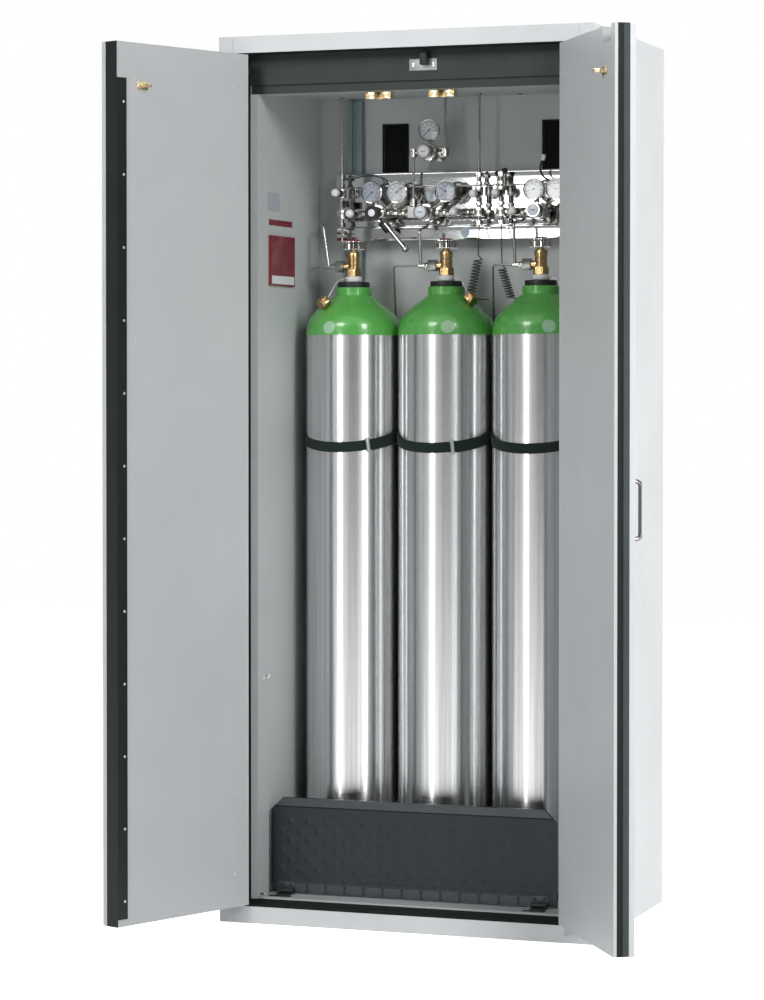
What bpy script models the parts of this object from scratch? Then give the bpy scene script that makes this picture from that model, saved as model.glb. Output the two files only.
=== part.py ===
"""Gas cylinder safety cabinet with two wing doors, a roll-in ramp, three strapped
gas cylinders and the wall-mounted gas panel. Metres, +Z up, front towards -Y.
The origin is the centre of the flat underside. The doors stand open."""

from math import cos, pi, radians, sin

import bmesh
import bpy
from mathutils import Matrix, Vector

# Cabinet body
WIDTH = 0.898
DEPTH = 0.616
HEIGHT = 2.050
SHEET = 0.0015
FACE_SHEET = 0.0012
FIT_GAP = 0.0003
OVERRUN = 0.004
FLANGE_WIDTH = 0.034
DOOR_REBATE = 0.005
PLINTH_HEIGHT = 0.039
FASCIA_HEIGHT = 0.0385
WALL_DEPTH = 0.0765
REAR_DEPTH = 0.159
CEILING_DEPTH = 0.130
CEILING_STEP_HEIGHT = 0.018
CEILING_STEP_DEPTH = 0.035
FLOOR_HEIGHT = 0.055
LINER_EDGE = 0.0175
SEAL_THICKNESS = 0.003

# Doors, given closed
DOOR_THICKNESS = 0.046
DOOR_SIDE_GAP = 0.003
DOOR_MEETING_GAP = 0.004
DOOR_END_GAP = 0.0055
DOOR_BACK_GAP = 0.002
DOOR_SKIN = 0.0015
DOOR_CORNER_RADIUS = 0.003
HINGE_FROM_EDGE = 0.0035
HINGE_FROM_FACE = 0.003
HINGE_PIN_RADIUS = 0.0012
HINGE_PIN_PLAY = 0.00025
HINGE_PIN_REACH = 0.0075
LEFT_DOOR_OPEN = radians(112.4)
RIGHT_DOOR_OPEN = radians(122.5)
EDGE_STRIP_WIDTH = 0.030
EDGE_STRIP_THICKNESS = 0.002
EDGE_STRIP_TOP_GAP = 0.080
EDGE_STRIP_BOTTOM_GAP = 0.0165
EDGE_SKIN_LIP = 0.012
EDGE_INNER_LIP = 0.007
STRIKER_WIDTH = 0.008
STRIKER_HEIGHT = 0.008
STRIKER_REACH = 0.026
STRIKER_PLATE_WIDTH = 0.034
STRIKER_PLATE_THICKNESS = 0.0015
NOTCH_X = 0.059
NOTCH_WIDTH = 0.062
NOTCH_HEIGHT = 0.036
NOTCH_DEPTH = 0.030

# Bow handle
HANDLE_LENGTH = 0.122
HANDLE_REACH = 0.026
HANDLE_ROD_RADIUS = 0.005
HANDLE_FROM_EDGE = 0.045
HANDLE_HEIGHT = 0.983
HANDLE_CORNER = 0.012
HANDLE_FOOT_RADIUS = 0.009
HANDLE_FOOT_THICKNESS = 0.003

# Header, catches and closing bracket
HEADER_LIP_HEIGHT = 0.021
HEADER_DEPTH = 0.010
HEADER_LIP_SET_BACK = 0.006
LEFT_CATCH_X = 0.081
RIGHT_CATCH_X = 0.0715
CATCH_WIDTH = 0.062
CATCH_HEIGHT = 0.017
CATCH_SET_BACK = 0.017
CATCH_DEPTH = 0.023
CATCH_MOUTH = 0.014
CATCH_MOUTH_DEPTH = 0.017
BRACKET_PLATE_WIDTH = 0.067
BRACKET_PLATE_HEIGHT = 0.027
BRACKET_PLATE_THICKNESS = 0.0012
BRACKET_BLOCK_WIDTH = 0.017
BRACKET_BLOCK_HEIGHT = 0.030
BRACKET_BLOCK_REACH = 0.022
BRACKET_X = 0.0335
BRACKET_BLOCK_X = 0.040
BRACKET_DROP = 0.036
BRACKET_BLOCK_DROP = 0.0385

# Gas cylinders
CYLINDER_RADIUS = 0.1145
CYLINDER_PITCH = 0.233
CYLINDER_BACK_GAP = 0.0275
CYLINDER_COUNT = 3
SHOULDER_RISE = 0.095
SHOULDER_SHARES = ((0.83, 0.56), (0.66, 0.745), (0.48, 0.885), (0.30, 0.965), (0.15, 0.99), (0, 1))
CYLINDER_HEADROOM = 0.461
COLLAR_RADIUS = 0.0435
COLLAR_LENGTH = 0.019
NECK_RING_RADIUS = 0.038
NECK_RING_LENGTH = 0.013
CYLINDER_FOOT_FILLET = 0.014

# Cylinder valves
VALVE_COLLAR_RADIUS = 0.0200
VALVE_COLLAR_LENGTH = 0.0135
VALVE_NUT_RADIUS = 0.0190
VALVE_NUT_LENGTH = 0.017
VALVE_WAIST_RADIUS = 0.0125
VALVE_WAIST_LENGTH = 0.021
VALVE_BODY_RADIUS = 0.0160
VALVE_BODY_LENGTH = 0.020
VALVE_NECK_LENGTH = 0.004
VALVE_SPINDLE_RADIUS = 0.008
OUTLET_RADIUS = 0.0085
OUTLET_REACH = 0.023
OUTLET_RISE = 0.023
HANDWHEEL_RADIUS = 0.0275
HANDWHEEL_HEIGHT = 0.021
HANDWHEEL_LOBES = 6
HANDWHEEL_LOBE_DEPTH = 0.0028
HANDWHEEL_CAP_RADIUS = 0.016
HANDWHEEL_CAP_HEIGHT = 0.004
CAP_RADIUS = 0.0120
CAP_LENGTH = 0.020
CAP_DISTANCE = 0.089
CAP_DROP = 0.051
CAP_CHAIN_RADIUS = 0.0012
CAP_DIRECTIONS = (radians(238), radians(-25), radians(-25))

# Straps and their wall rail
STRAP_WIDTH = 0.024
STRAP_THICKNESS = 0.0014
STRAP_CLEARANCE = 0.0003
STRAP_DROP = 0.264
STRAP_RISE_SHARE = 0.262
STRAP_STEPS = 28
BUCKLE_WIDTH = 0.012
BUCKLE_HEIGHT = 0.032
BUCKLE_THICKNESS = 0.005
STRAP_RAIL_HEIGHT = 0.044
STRAP_RAIL_END_GAP = 0.0125
STRAP_RAIL_WALL = 0.003

# Vents
VENT_WIDTH = 0.061
VENT_HEIGHT = 0.123
VENT_DROP = 0.040
VENT_PLACES = (-0.1765, 0.2267)
VENT_FRAME = 0.003
VENT_THICKNESS = 0.003
VENT_ROWS = 9
VENT_SLOT_SHARE = 0.62
DUCT_WIDTH = 0.090
DUCT_DEPTH = 0.090
DUCT_OUTLET_RADIUS = 0.0375

# Slotted wall rail and stainless gas panel
RAIL_X = -0.2745
RAIL_WIDTH = 0.035
RAIL_DEPTH = 0.021
RAIL_WALL = 0.0025
RAIL_MOUTH = 0.014
RAIL_TOP_GAP = 0.004
PANEL_WIDTH = 0.620
PANEL_DROP = 0.327
PANEL_HEIGHT = 0.162
PANEL_EDGE_HEIGHT = 0.033
PANEL_STANDOFF = 0.049
PANEL_RECESS = 0.009
PANEL_SHEET = 0.002

# Gas stations: places on the panel, then sizes of their bodies
STATION_STANDOFF = 0.030
KNOB_ROW_RISE = 0.063
GAUGE_ROW_RISE = 0.050
LEFT_STACK_X = -0.286
MIDDLE_STACK_X = 0.061
RIGHT_STACK_X = 0.116
LEFT_REGULATOR_X = -0.190
MIDDLE_REGULATOR_X = -0.068
RIGHT_REGULATOR_X = 0.211
LEFT_GAUGES_X = (-0.200, -0.137)
MIDDLE_GAUGES_X = (-0.015, -0.048)
RIGHT_GAUGES_X = (0.204, 0.259)
STACK_RISE = 0.051
STACK_DROP = 0.026
STACK_BLOCK_WIDTH = 0.021
STACK_NECK_RADIUS = 0.0055
STACK_NUT_RADIUS = 0.0095
RISER_RADIUS = 0.003
BAR_RADIUS = 0.0085
REGULATOR_RADIUS = 0.021
REGULATOR_LENGTH = 0.040
REGULATOR_BONNET_RADIUS = 0.017
REGULATOR_BONNET_LENGTH = 0.016
REGULATOR_KNOB_RADIUS = 0.0175
REGULATOR_KNOB_LENGTH = 0.022
GAUGE_RADIUS = 0.0245
GAUGE_THICKNESS = 0.020
SMALL_GAUGE_RADIUS = 0.015
GAUGE_STEM_RADIUS = 0.0055
VALVE_KNOB_RADIUS = 0.0095
VALVE_KNOB_LENGTH = 0.016
VALVE_KNOB_STEM = 0.010
VALVE_HOUSING_RADIUS = 0.0085
OUTLET_TUBE_RADIUS = 0.0055
OUTLET_TUBE_DROP = 0.090
OUTLET_TUBE_RUN = 0.083
BULB_RADIUS = 0.008
BULB_LENGTH = 0.030
CAP_KNOB_RADIUS = 0.0075
LINE_REGULATOR_X = -0.060
LINE_GAUGE_X = -0.056
LINE_KNOB_RISE = 0.144
LINE_GAUGE_RISE = 0.051
LINE_INLET_X = -0.104
LINE_OUTLET_X = -0.024

# Pigtail tubes and wound hoses
PIGTAIL_RADIUS = 0.0036
PIGTAIL_NUT_RADIUS = 0.0145
PIGTAIL_NUT_LENGTH = 0.020
PIGTAIL_FERRULE_RADIUS = 0.0068
PIGTAIL_FERRULE_LENGTH = 0.014
PIGTAIL_ELBOW_RADIUS = 0.0044
PIGTAIL_ELBOW_LENGTH = 0.012
PIGTAIL_LEAN = 0.004
PIGTAIL_1_TOP = (-0.030, -0.050, -0.026)
PIGTAIL_1_END = (-0.0745, 0.0755, -0.019)
PIGTAIL_3_FEED_X = 0.172
RESTRAINT_RADII = (0.0016, 0.0025, 0.0025)
RESTRAINT_REACHES = (0.102, 0.132, 0.118)
RESTRAINT_RUN = (-0.040, 0.190)
RESTRAINT_1_RUN = (-0.0355, 0.098, 0.0037)
COIL_RADIUS = 0.0095
COIL_WIRE_RADIUS = 0.0015
COIL_TURNS = 11
COIL_POINTS = 8
COIL_STANDOFF = 0.030
COIL_LEFT = (0.007, 0.087, 0.083, -0.018)
COIL_RIGHT = (0.011, 0.110, 0.069, 0.023)

# Roll-in ramp
RAMP_LEFT_GAP = 0.0085
RAMP_RIGHT_GAP = 0.0385
RAMP_HEIGHT = 0.221
RAMP_BOTTOM_GAP = 0.004
RAMP_THICKNESS = 0.003
RAMP_CHAMFER = 0.028
RAMP_PLACE_SHARE = 0.42
RAMP_HINGE_FORWARD = 0.010
RAMP_HINGE_RISE = 0.008
RAMP_LIP = 0.014
RAMP_PIN_RADIUS = 0.0025
RAMP_PIN_PLAY = 0.0004
RAMP_KNUCKLE_RADIUS = 0.0055
RAMP_KNUCKLE_LENGTH = 0.030
RAMP_LUG_THICKNESS = 0.004
RAMP_LUG_HALF = 0.0042
RAMP_HINGE_INSET = 0.040

# Document holder
HOLDER_LENGTH = 0.155
HOLDER_HEIGHT = 0.117
HOLDER_THICKNESS = 0.006
HOLDER_SET_BACK = 0.068
HOLDER_DROP = 0.440
HOLDER_WALL = 0.0015

ROUND_SEGMENTS = 18
SMALL_SEGMENTS = 10
BIG_SEGMENTS = 32
HEX_SEGMENTS = 6
ARC_STEPS = 5

# Derived places
FRONT = -DEPTH / 2
BACK = DEPTH / 2
SIDE_IN = WIDTH / 2 - SHEET
FLANGE_EDGE = WIDTH / 2 - FLANGE_WIDTH
DOOR_ZONE_EDGE = FLANGE_EDGE + DOOR_REBATE
DOOR_BACK = FRONT + DOOR_THICKNESS
JAMB_FRONT = DOOR_BACK + DOOR_BACK_GAP
BOARD_FRONT = JAMB_FRONT + SEAL_THICKNESS
INNER_HALF = WIDTH / 2 - WALL_DEPTH
INNER_BACK = BACK - REAR_DEPTH
CEILING = HEIGHT - CEILING_DEPTH
CEILING_FACE = CEILING + CEILING_STEP_HEIGHT
FASCIA_BOTTOM = HEIGHT - FASCIA_HEIGHT
DOOR_BOTTOM = PLINTH_HEIGHT + DOOR_END_GAP
DOOR_TOP = FASCIA_BOTTOM - DOOR_END_GAP
DOOR_EDGE = DOOR_ZONE_EDGE - DOOR_SIDE_GAP
DOOR_FREE = DOOR_MEETING_GAP / 2
HINGE_X = DOOR_EDGE - HINGE_FROM_EDGE
HINGE_Y = FRONT + HINGE_FROM_FACE
CYLINDER_Y = INNER_BACK - CYLINDER_BACK_GAP - CYLINDER_RADIUS
COLLAR_HEIGHT = CEILING - FLOOR_HEIGHT - CYLINDER_HEADROOM
SHOULDER_HEIGHT = COLLAR_HEIGHT - SHOULDER_RISE
STRAP_FRONT_HEIGHT = FLOOR_HEIGHT + SHOULDER_HEIGHT - STRAP_DROP
STRAP_RAIL_WIDTH = (INNER_HALF - STRAP_RAIL_END_GAP) * 2
COLLAR_TOP = FLOOR_HEIGHT + COLLAR_HEIGHT + COLLAR_LENGTH
NECK_TOP = COLLAR_TOP + NECK_RING_LENGTH + FIT_GAP
VALVE_BASE = NECK_TOP + FIT_GAP
VALVE_NUT_BASE = VALVE_BASE + VALVE_COLLAR_LENGTH
VALVE_WAIST_BASE = VALVE_NUT_BASE + VALVE_NUT_LENGTH
VALVE_BODY_BASE = VALVE_WAIST_BASE + VALVE_WAIST_LENGTH
VALVE_TOP = VALVE_BODY_BASE + VALVE_BODY_LENGTH + VALVE_NECK_LENGTH
OUTLET_Z = VALVE_NUT_BASE + OUTLET_RISE
VENT_TOP = CEILING - VENT_DROP
PANEL_BOTTOM = CEILING - PANEL_DROP
PANEL_FRONT = INNER_BACK - PANEL_STANDOFF
STATION_Y = PANEL_FRONT - STATION_STANDOFF
KNOB_ROW = PANEL_BOTTOM + KNOB_ROW_RISE
GAUGE_ROW = KNOB_ROW + GAUGE_ROW_RISE
STACK_TOP = GAUGE_ROW + STACK_RISE
STACK_BOTTOM = KNOB_ROW - STACK_DROP
LINE_KNOB_ROW = KNOB_ROW + LINE_KNOB_RISE
LINE_GAUGE_ROW = LINE_KNOB_ROW + LINE_GAUGE_RISE
COIL_Y = STATION_Y - COIL_STANDOFF
HOLDER_FRONT = JAMB_FRONT + HOLDER_SET_BACK
HOLDER_BOTTOM = CEILING - HOLDER_DROP
RAMP_LEFT = RAMP_LEFT_GAP - INNER_HALF
RAMP_RIGHT = INNER_HALF - RAMP_RIGHT_GAP
RAMP_Y = JAMB_FRONT + (CYLINDER_Y - CYLINDER_RADIUS - JAMB_FRONT) * RAMP_PLACE_SHARE
RAMP_HINGE_Y = RAMP_Y - RAMP_HINGE_FORWARD
RAMP_HINGE_Z = FLOOR_HEIGHT + RAMP_HINGE_RISE

PAINTED_GREY = (0.58, 0.60, 0.60)
BOARD_GREY = (0.55, 0.57, 0.57)
BOARD_CORE = (0.70, 0.66, 0.58)
SEAL_BLACK = (0.020, 0.024, 0.022)
HEADER_BLACK = (0.035, 0.042, 0.040)
STAINLESS = (0.62, 0.60, 0.57)
CHROME = (0.75, 0.75, 0.76)
BRASS = (0.60, 0.42, 0.14)
ALUMINIUM = (0.72, 0.73, 0.74)
WEBBING = (0.015, 0.028, 0.024)
RAMP_SLATE = (0.045, 0.052, 0.060)
ZINC = (0.42, 0.48, 0.49)
HOLDER_RED = (0.25, 0.02, 0.03)
KNOB_WHITE = (0.75, 0.76, 0.78)


def collection(name):
    made = bpy.data.collections.new(name)
    bpy.context.scene.collection.children.link(made)
    return made


def clear_scene():
    for obj in list(bpy.data.objects):
        bpy.data.objects.remove(obj)


clear_scene()
CABINET = collection("gas_cylinder_cabinet")
CUTTERS = collection("cutters")


def material(name, colour, roughness, metallic):
    made = bpy.data.materials.new(name)
    made.use_nodes = True
    shader = made.node_tree.nodes["Principled BSDF"]
    shader.inputs["Base Color"].default_value = (*colour, 1)
    shader.inputs["Roughness"].default_value = roughness
    shader.inputs["Metallic"].default_value = metallic
    return made


def mesh_object(name, bm):
    bmesh.ops.recalc_face_normals(bm, faces=bm.faces)
    mesh = bpy.data.meshes.new(name)
    bm.to_mesh(mesh)
    bm.free()
    obj = bpy.data.objects.new(name, mesh)
    CABINET.objects.link(obj)
    return obj


def box(low, high):
    """A box between two corners."""
    low, high = Vector(low), Vector(high)
    bm = bmesh.new()
    bmesh.ops.create_cube(bm, size=1)
    bmesh.ops.scale(bm, vec=high - low, verts=bm.verts)
    obj = mesh_object("box", bm)
    obj.location = (low + high) / 2
    return obj


def rod(start, end, radius, segments=SMALL_SEGMENTS, end_radius=None):
    """A cylinder, cone or hexagon bar from one point to another."""
    start, end = Vector(start), Vector(end)
    bm = bmesh.new()
    bmesh.ops.create_cone(
        bm,
        cap_ends=True,
        segments=segments,
        radius1=radius,
        radius2=radius if end_radius is None else end_radius,
        depth=(end - start).length,
    )
    obj = mesh_object("rod", bm)
    obj.rotation_mode = "QUATERNION"
    obj.rotation_quaternion = (end - start).to_track_quat("Z", "Y")
    obj.location = (start + end) / 2
    return obj


def upright(x, y, low, high, radius, segments=SMALL_SEGMENTS):
    return rod((x, y, low), (x, y, high), radius, segments)


def ball(centre, radius):
    bm = bmesh.new()
    bmesh.ops.create_uvsphere(bm, u_segments=SMALL_SEGMENTS, v_segments=SMALL_SEGMENTS // 2, radius=radius)
    obj = mesh_object("ball", bm)
    obj.location = centre
    return obj


def as_mesh(obj):
    """The evaluated shape of an object, welded, in place of the object."""
    bpy.context.view_layer.update()
    evaluated = obj.evaluated_get(bpy.context.evaluated_depsgraph_get())
    mesh = bpy.data.meshes.new_from_object(evaluated)
    bm = bmesh.new()
    bm.from_mesh(mesh)
    bmesh.ops.remove_doubles(bm, verts=bm.verts, dist=FIT_GAP / 30)
    made = mesh_object(obj.name, bm)
    made.matrix_world = obj.matrix_world.copy()
    bpy.data.objects.remove(obj)
    return made


def prism(outline, low, high):
    """A flat outline in X and Y, extruded from one height to another."""
    bm = bmesh.new()
    floor = [bm.verts.new((x, y, low)) for x, y in outline]
    roof = [bm.verts.new((x, y, high)) for x, y in outline]
    bm.faces.new(floor[::-1])
    bm.faces.new(roof)
    for number in range(len(outline)):
        after = (number + 1) % len(outline)
        bm.faces.new((floor[number], floor[after], roof[after], roof[number]))
    return mesh_object("prism", bm)


def side_profile(outline, left, right):
    """An outline given in Y and Z, extruded along X."""
    obj = prism(outline, 0, right - left)
    turn = Matrix(((0, 0, 1, left), (1, 0, 0, 0), (0, 1, 0, 0), (0, 0, 0, 1)))
    obj.matrix_world = turn @ obj.matrix_world
    return obj


def tube(points, radius, sides_level=2):
    """A round tube along hand-placed points."""
    curve = bpy.data.curves.new("tube", "CURVE")
    curve.dimensions = "3D"
    curve.bevel_depth = radius
    curve.bevel_resolution = sides_level
    curve.use_fill_caps = True
    spline = curve.splines.new("POLY")
    spline.points.add(len(points) - 1)
    for point, place in zip(spline.points, points):
        point.co = (*place, 1)
    obj = bpy.data.objects.new("tube", curve)
    CABINET.objects.link(obj)
    return as_mesh(obj)


def turned(profile, centre, segments):
    """A solid of revolution about a vertical line. The profile runs from top to bottom."""
    bm = bmesh.new()
    verts = [bm.verts.new((radius, 0, height)) for radius, height in profile]
    for upper, lower in zip(verts, verts[1:]):
        bm.edges.new((upper, lower))
    mesh = bpy.data.meshes.new("profile")
    bm.to_mesh(mesh)
    bm.free()
    obj = bpy.data.objects.new("turned", mesh)
    CABINET.objects.link(obj)
    obj.location = centre
    screw = obj.modifiers.new("turn", "SCREW")
    screw.steps = screw.render_steps = segments
    screw.use_merge_vertices = True
    screw.merge_threshold = 0.0001
    return as_mesh(obj)


def boolean(obj, other, operation):
    modifier = obj.modifiers.new(operation.lower(), "BOOLEAN")
    modifier.operation = operation
    modifier.solver = "EXACT"
    modifier.object = other


def fuse(pieces):
    """One closed body from overlapping pieces."""
    base, others = pieces[0], pieces[1:]
    for other in others:
        boolean(base, other, "UNION")
    made = as_mesh(base)
    for other in others:
        bpy.data.objects.remove(other)
    return made


def cut(obj, cutters):
    """The object without the cutters' space."""
    for cutter in cutters:
        boolean(obj, cutter, "DIFFERENCE")
    made = as_mesh(obj)
    for cutter in cutters:
        CABINET.objects.unlink(cutter)
        CUTTERS.objects.link(cutter)
        cutter.hide_render = True
        cutter.display_type = "WIRE"
    return made


def finish(obj, name, look, smooth=False):
    """Names the piece, gives it its material and shades it."""
    obj.name = obj.data.name = name
    obj.data.materials.clear()
    obj.data.materials.append(look)
    if smooth:
        obj.data.shade_smooth()
        obj.data.set_sharp_from_angle(angle=radians(35))
    return obj


def pivot(name, place, turn=0.0):
    """An empty on a joint's axis."""
    empty = bpy.data.objects.new(name, None)
    CABINET.objects.link(empty)
    empty.location = place
    empty.rotation_euler.z = turn
    return empty


def hang_on(obj, empty):
    """Parents a piece, modelled in the closed position, to its joint's empty."""
    obj.location = obj.location - empty.location
    obj.parent = empty


def recentre(obj, origin):
    """Moves an object's origin to a point without moving its shape."""
    bpy.context.view_layer.update()
    shift = Matrix.Translation(-Vector(origin)) @ obj.matrix_world
    obj.data.transform(shift)
    obj.matrix_world = Matrix.Translation(Vector(origin))
    return obj


def mirrored(points, side):
    return [(side * x, y) for x, y in points]


LOOKS = {
    "painted": material("painted_steel", PAINTED_GREY, 0.45, 0.0),
    "board": material("lined_board", BOARD_GREY, 0.5, 0.0),
    "core": material("fire_board", BOARD_CORE, 0.9, 0.0),
    "seal": material("seal_strip", SEAL_BLACK, 0.6, 0.0),
    "header": material("header_plate", HEADER_BLACK, 0.5, 0.0),
    "stainless": material("stainless_steel", STAINLESS, 0.25, 1.0),
    "chrome": material("chromed_brass", CHROME, 0.15, 1.0),
    "brass": material("brass", BRASS, 0.3, 1.0),
    "aluminium": material("aluminium", ALUMINIUM, 0.3, 1.0),
    "webbing": material("webbing", WEBBING, 0.85, 0.0),
    "slate": material("ramp_plate", RAMP_SLATE, 0.55, 0.3),
    "zinc": material("zinc_plated", ZINC, 0.4, 0.9),
    "red": material("document_holder", HOLDER_RED, 0.4, 0.0),
    "white": material("white_knob", KNOB_WHITE, 0.35, 0.0),
}


# Carcass


def side_panel(side):
    """Outer side sheet with its folded front flange and the return behind the door edge."""
    outer = WIDTH / 2
    outline = [
        (outer, FRONT),
        (outer, BACK),
        (outer - SHEET, BACK),
        (outer - SHEET, FRONT + SHEET),
        (FLANGE_EDGE, FRONT + SHEET),
        (FLANGE_EDGE, FRONT),
    ]
    panel = prism(mirrored(outline, side), 0, HEIGHT)
    rebate = leaf_box(
        side,
        (FLANGE_EDGE - OVERRUN, FRONT - OVERRUN, PLINTH_HEIGHT),
        (DOOR_ZONE_EDGE, FRONT + OVERRUN, FASCIA_BOTTOM),
    )
    panel = cut(panel, [rebate])
    door_return = leaf_box(
        side,
        (DOOR_ZONE_EDGE + SHEET / 2, FRONT + SHEET / 2, PLINTH_HEIGHT + FIT_GAP),
        (DOOR_ZONE_EDGE + SHEET * 1.5, BOARD_FRONT - FIT_GAP, FASCIA_BOTTOM - FIT_GAP),
    )
    return fuse([panel, door_return])


def side_panels():
    for side, name in ((-1, "side_panel_left"), (1, "side_panel_right")):
        finish(side_panel(side), name, LOOKS["painted"])


def rear_panel():
    reach = SIDE_IN - FIT_GAP
    sheet = box((-reach, BACK - SHEET, 0), (reach, BACK, HEIGHT - SHEET - FIT_GAP))
    finish(sheet, "rear_panel", LOOKS["painted"])


def top_panel():
    """Roof sheet with the fascia and its lower ledge, and the two duct outlets."""
    reach = SIDE_IN - FIT_GAP
    fascia = FLANGE_EDGE - FIT_GAP
    step = FRONT + SHEET + FIT_GAP
    half_plan = [(fascia, FRONT), (fascia, step), (reach, step), (reach, BACK)]
    plan = half_plan + [(-x, y) for x, y in half_plan[::-1]]
    roof = prism(plan, HEIGHT - SHEET, HEIGHT)
    fold = [
        (FRONT + FIT_GAP / 3, HEIGHT - SHEET / 2),
        (FRONT + FIT_GAP / 3, FASCIA_BOTTOM),
        (DOOR_BACK, FASCIA_BOTTOM),
        (DOOR_BACK, FASCIA_BOTTOM + SHEET),
        (FRONT + FACE_SHEET, FASCIA_BOTTOM + SHEET),
        (FRONT + FACE_SHEET, HEIGHT - SHEET / 2),
    ]
    face = side_profile(fold, FIT_GAP - fascia, fascia - FIT_GAP)
    ears = [
        leaf_box(
            side,
            (fascia - OVERRUN, step, FASCIA_BOTTOM + FIT_GAP),
            (fascia + DOOR_REBATE, DOOR_BACK - FIT_GAP, FASCIA_BOTTOM + SHEET - FIT_GAP),
        )
        for side in (-1, 1)
    ]
    panel = fuse([roof, face, *ears])
    holes = [
        upright(x, duct_y(), HEIGHT - OVERRUN, HEIGHT + OVERRUN, DUCT_OUTLET_RADIUS, ROUND_SEGMENTS)
        for x in VENT_PLACES
    ]
    finish(cut(panel, holes + hinge_holes(FASCIA_BOTTOM)), "top_panel", LOOKS["painted"])


def hinge_holes(height):
    """Holes for the two hinge pins in the sheet at this height."""
    radius = HINGE_PIN_RADIUS + HINGE_PIN_PLAY
    return [upright(side * HINGE_X, HINGE_Y, height - OVERRUN, height + OVERRUN, radius) for side in (-1, 1)]


def duct_y():
    return (INNER_BACK + BACK) / 2


def base_plinth():
    """Plinth front, ledge and bottom sheet that the cabinet stands on."""
    reach = SIDE_IN - FIT_GAP
    front = FLANGE_EDGE - FIT_GAP
    back = BACK - SHEET - FIT_GAP
    step = FRONT + SHEET + FIT_GAP
    half_plan = [(front, FRONT), (front, step), (reach, step), (reach, back)]
    plan = half_plan + [(-x, y) for x, y in half_plan[::-1]]
    sheet = prism(plan, 0, SHEET)
    deck = prism(plan, PLINTH_HEIGHT - SHEET, PLINTH_HEIGHT)
    face = box(
        (FIT_GAP - front, FRONT + FIT_GAP / 3, SHEET / 2),
        (front - FIT_GAP, FRONT + FACE_SHEET, PLINTH_HEIGHT - SHEET / 2),
    )
    ribs = [
        box(
            (share * reach - SHEET, FRONT + FACE_SHEET / 2, SHEET / 2),
            (share * reach + SHEET, back - OVERRUN, PLINTH_HEIGHT - SHEET / 2),
        )
        for share in (-0.8, -0.27, 0.27, 0.8)
    ]
    base = fuse([sheet, deck, face, *ribs])
    finish(cut(base, hinge_holes(PLINTH_HEIGHT)), "base_plinth", LOOKS["painted"])


def wall_boards():
    """Fire boards that form the inner side walls; a light edge shows beside the seal."""
    low = PLINTH_HEIGHT + FIT_GAP
    high = HEIGHT - SHEET - FIT_GAP
    outer = SIDE_IN - FIT_GAP
    step = INNER_HALF + LINER_EDGE
    outline = [
        (INNER_HALF, JAMB_FRONT),
        (step - FIT_GAP, JAMB_FRONT),
        (step - FIT_GAP, BOARD_FRONT),
        (outer, BOARD_FRONT),
        (outer, INNER_BACK),
        (INNER_HALF, INNER_BACK),
    ]
    for side, name in ((-1, "wall_board_left"), (1, "wall_board_right")):
        board = prism(mirrored(outline, side), low, high)
        sill = leaf_box(
            side,
            (INNER_HALF - OVERRUN, JAMB_FRONT - OVERRUN, low - OVERRUN),
            (step + OVERRUN, BOARD_FRONT, seal_sill_top() + FIT_GAP),
        )
        header = leaf_box(
            side,
            (INNER_HALF - OVERRUN, JAMB_FRONT - OVERRUN, CEILING),
            (step, JAMB_FRONT + HEADER_DEPTH + FIT_GAP, high + OVERRUN),
        )
        finish(cut(board, [sill, header]), name, LOOKS["board"])


def rear_board():
    """Thick rear wall with a duct shaft behind each vent window."""
    reach = SIDE_IN - FIT_GAP
    front = INNER_BACK + FIT_GAP
    back = BACK - SHEET - FIT_GAP
    high = HEIGHT - SHEET - FIT_GAP
    board = box((-reach, front, PLINTH_HEIGHT + FIT_GAP), (reach, back, high))
    cutters = []
    for x in VENT_PLACES:
        cutters.append(
            box(
                (x - DUCT_WIDTH / 2, duct_y() - DUCT_DEPTH / 2, VENT_TOP - VENT_HEIGHT),
                (x + DUCT_WIDTH / 2, duct_y() + DUCT_DEPTH / 2, high + OVERRUN),
            )
        )
        cutters.append(
            box(
                (x - VENT_WIDTH / 2, front - OVERRUN, VENT_TOP - VENT_HEIGHT + VENT_FRAME),
                (x + VENT_WIDTH / 2, duct_y(), VENT_TOP - VENT_FRAME),
            )
        )
    finish(cut(board, cutters), "rear_board", LOOKS["board"])


def ceiling_board():
    """Ceiling with the step along its front edge that carries the ball catches."""
    reach = INNER_HALF - FIT_GAP
    front = JAMB_FRONT + HEADER_DEPTH + FIT_GAP
    board = box((-reach, front, CEILING_FACE), (reach, INNER_BACK, HEIGHT - SHEET - FIT_GAP))
    step = box((-reach, front, CEILING), (reach, front + CEILING_STEP_DEPTH, CEILING_FACE + SHEET))
    finish(fuse([board, step]), "ceiling_board", LOOKS["board"])


def header_cover():
    """Dark header plate with its set-back lower lip."""
    top = FASCIA_BOTTOM - FIT_GAP
    lip_top = CEILING + HEADER_LIP_HEIGHT
    back = JAMB_FRONT + HEADER_DEPTH
    lip = JAMB_FRONT + HEADER_LIP_SET_BACK
    outline = [
        (JAMB_FRONT, lip_top),
        (back, lip_top),
        (back, top),
        (JAMB_FRONT, top),
    ]
    reach = INNER_HALF + LINER_EDGE - FIT_GAP
    plate = side_profile(outline, -reach, reach)
    strip = box((-reach, lip, CEILING + FIT_GAP), (reach, back, lip_top + SHEET))
    finish(fuse([plate, strip]), "header_cover", LOOKS["header"])


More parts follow.
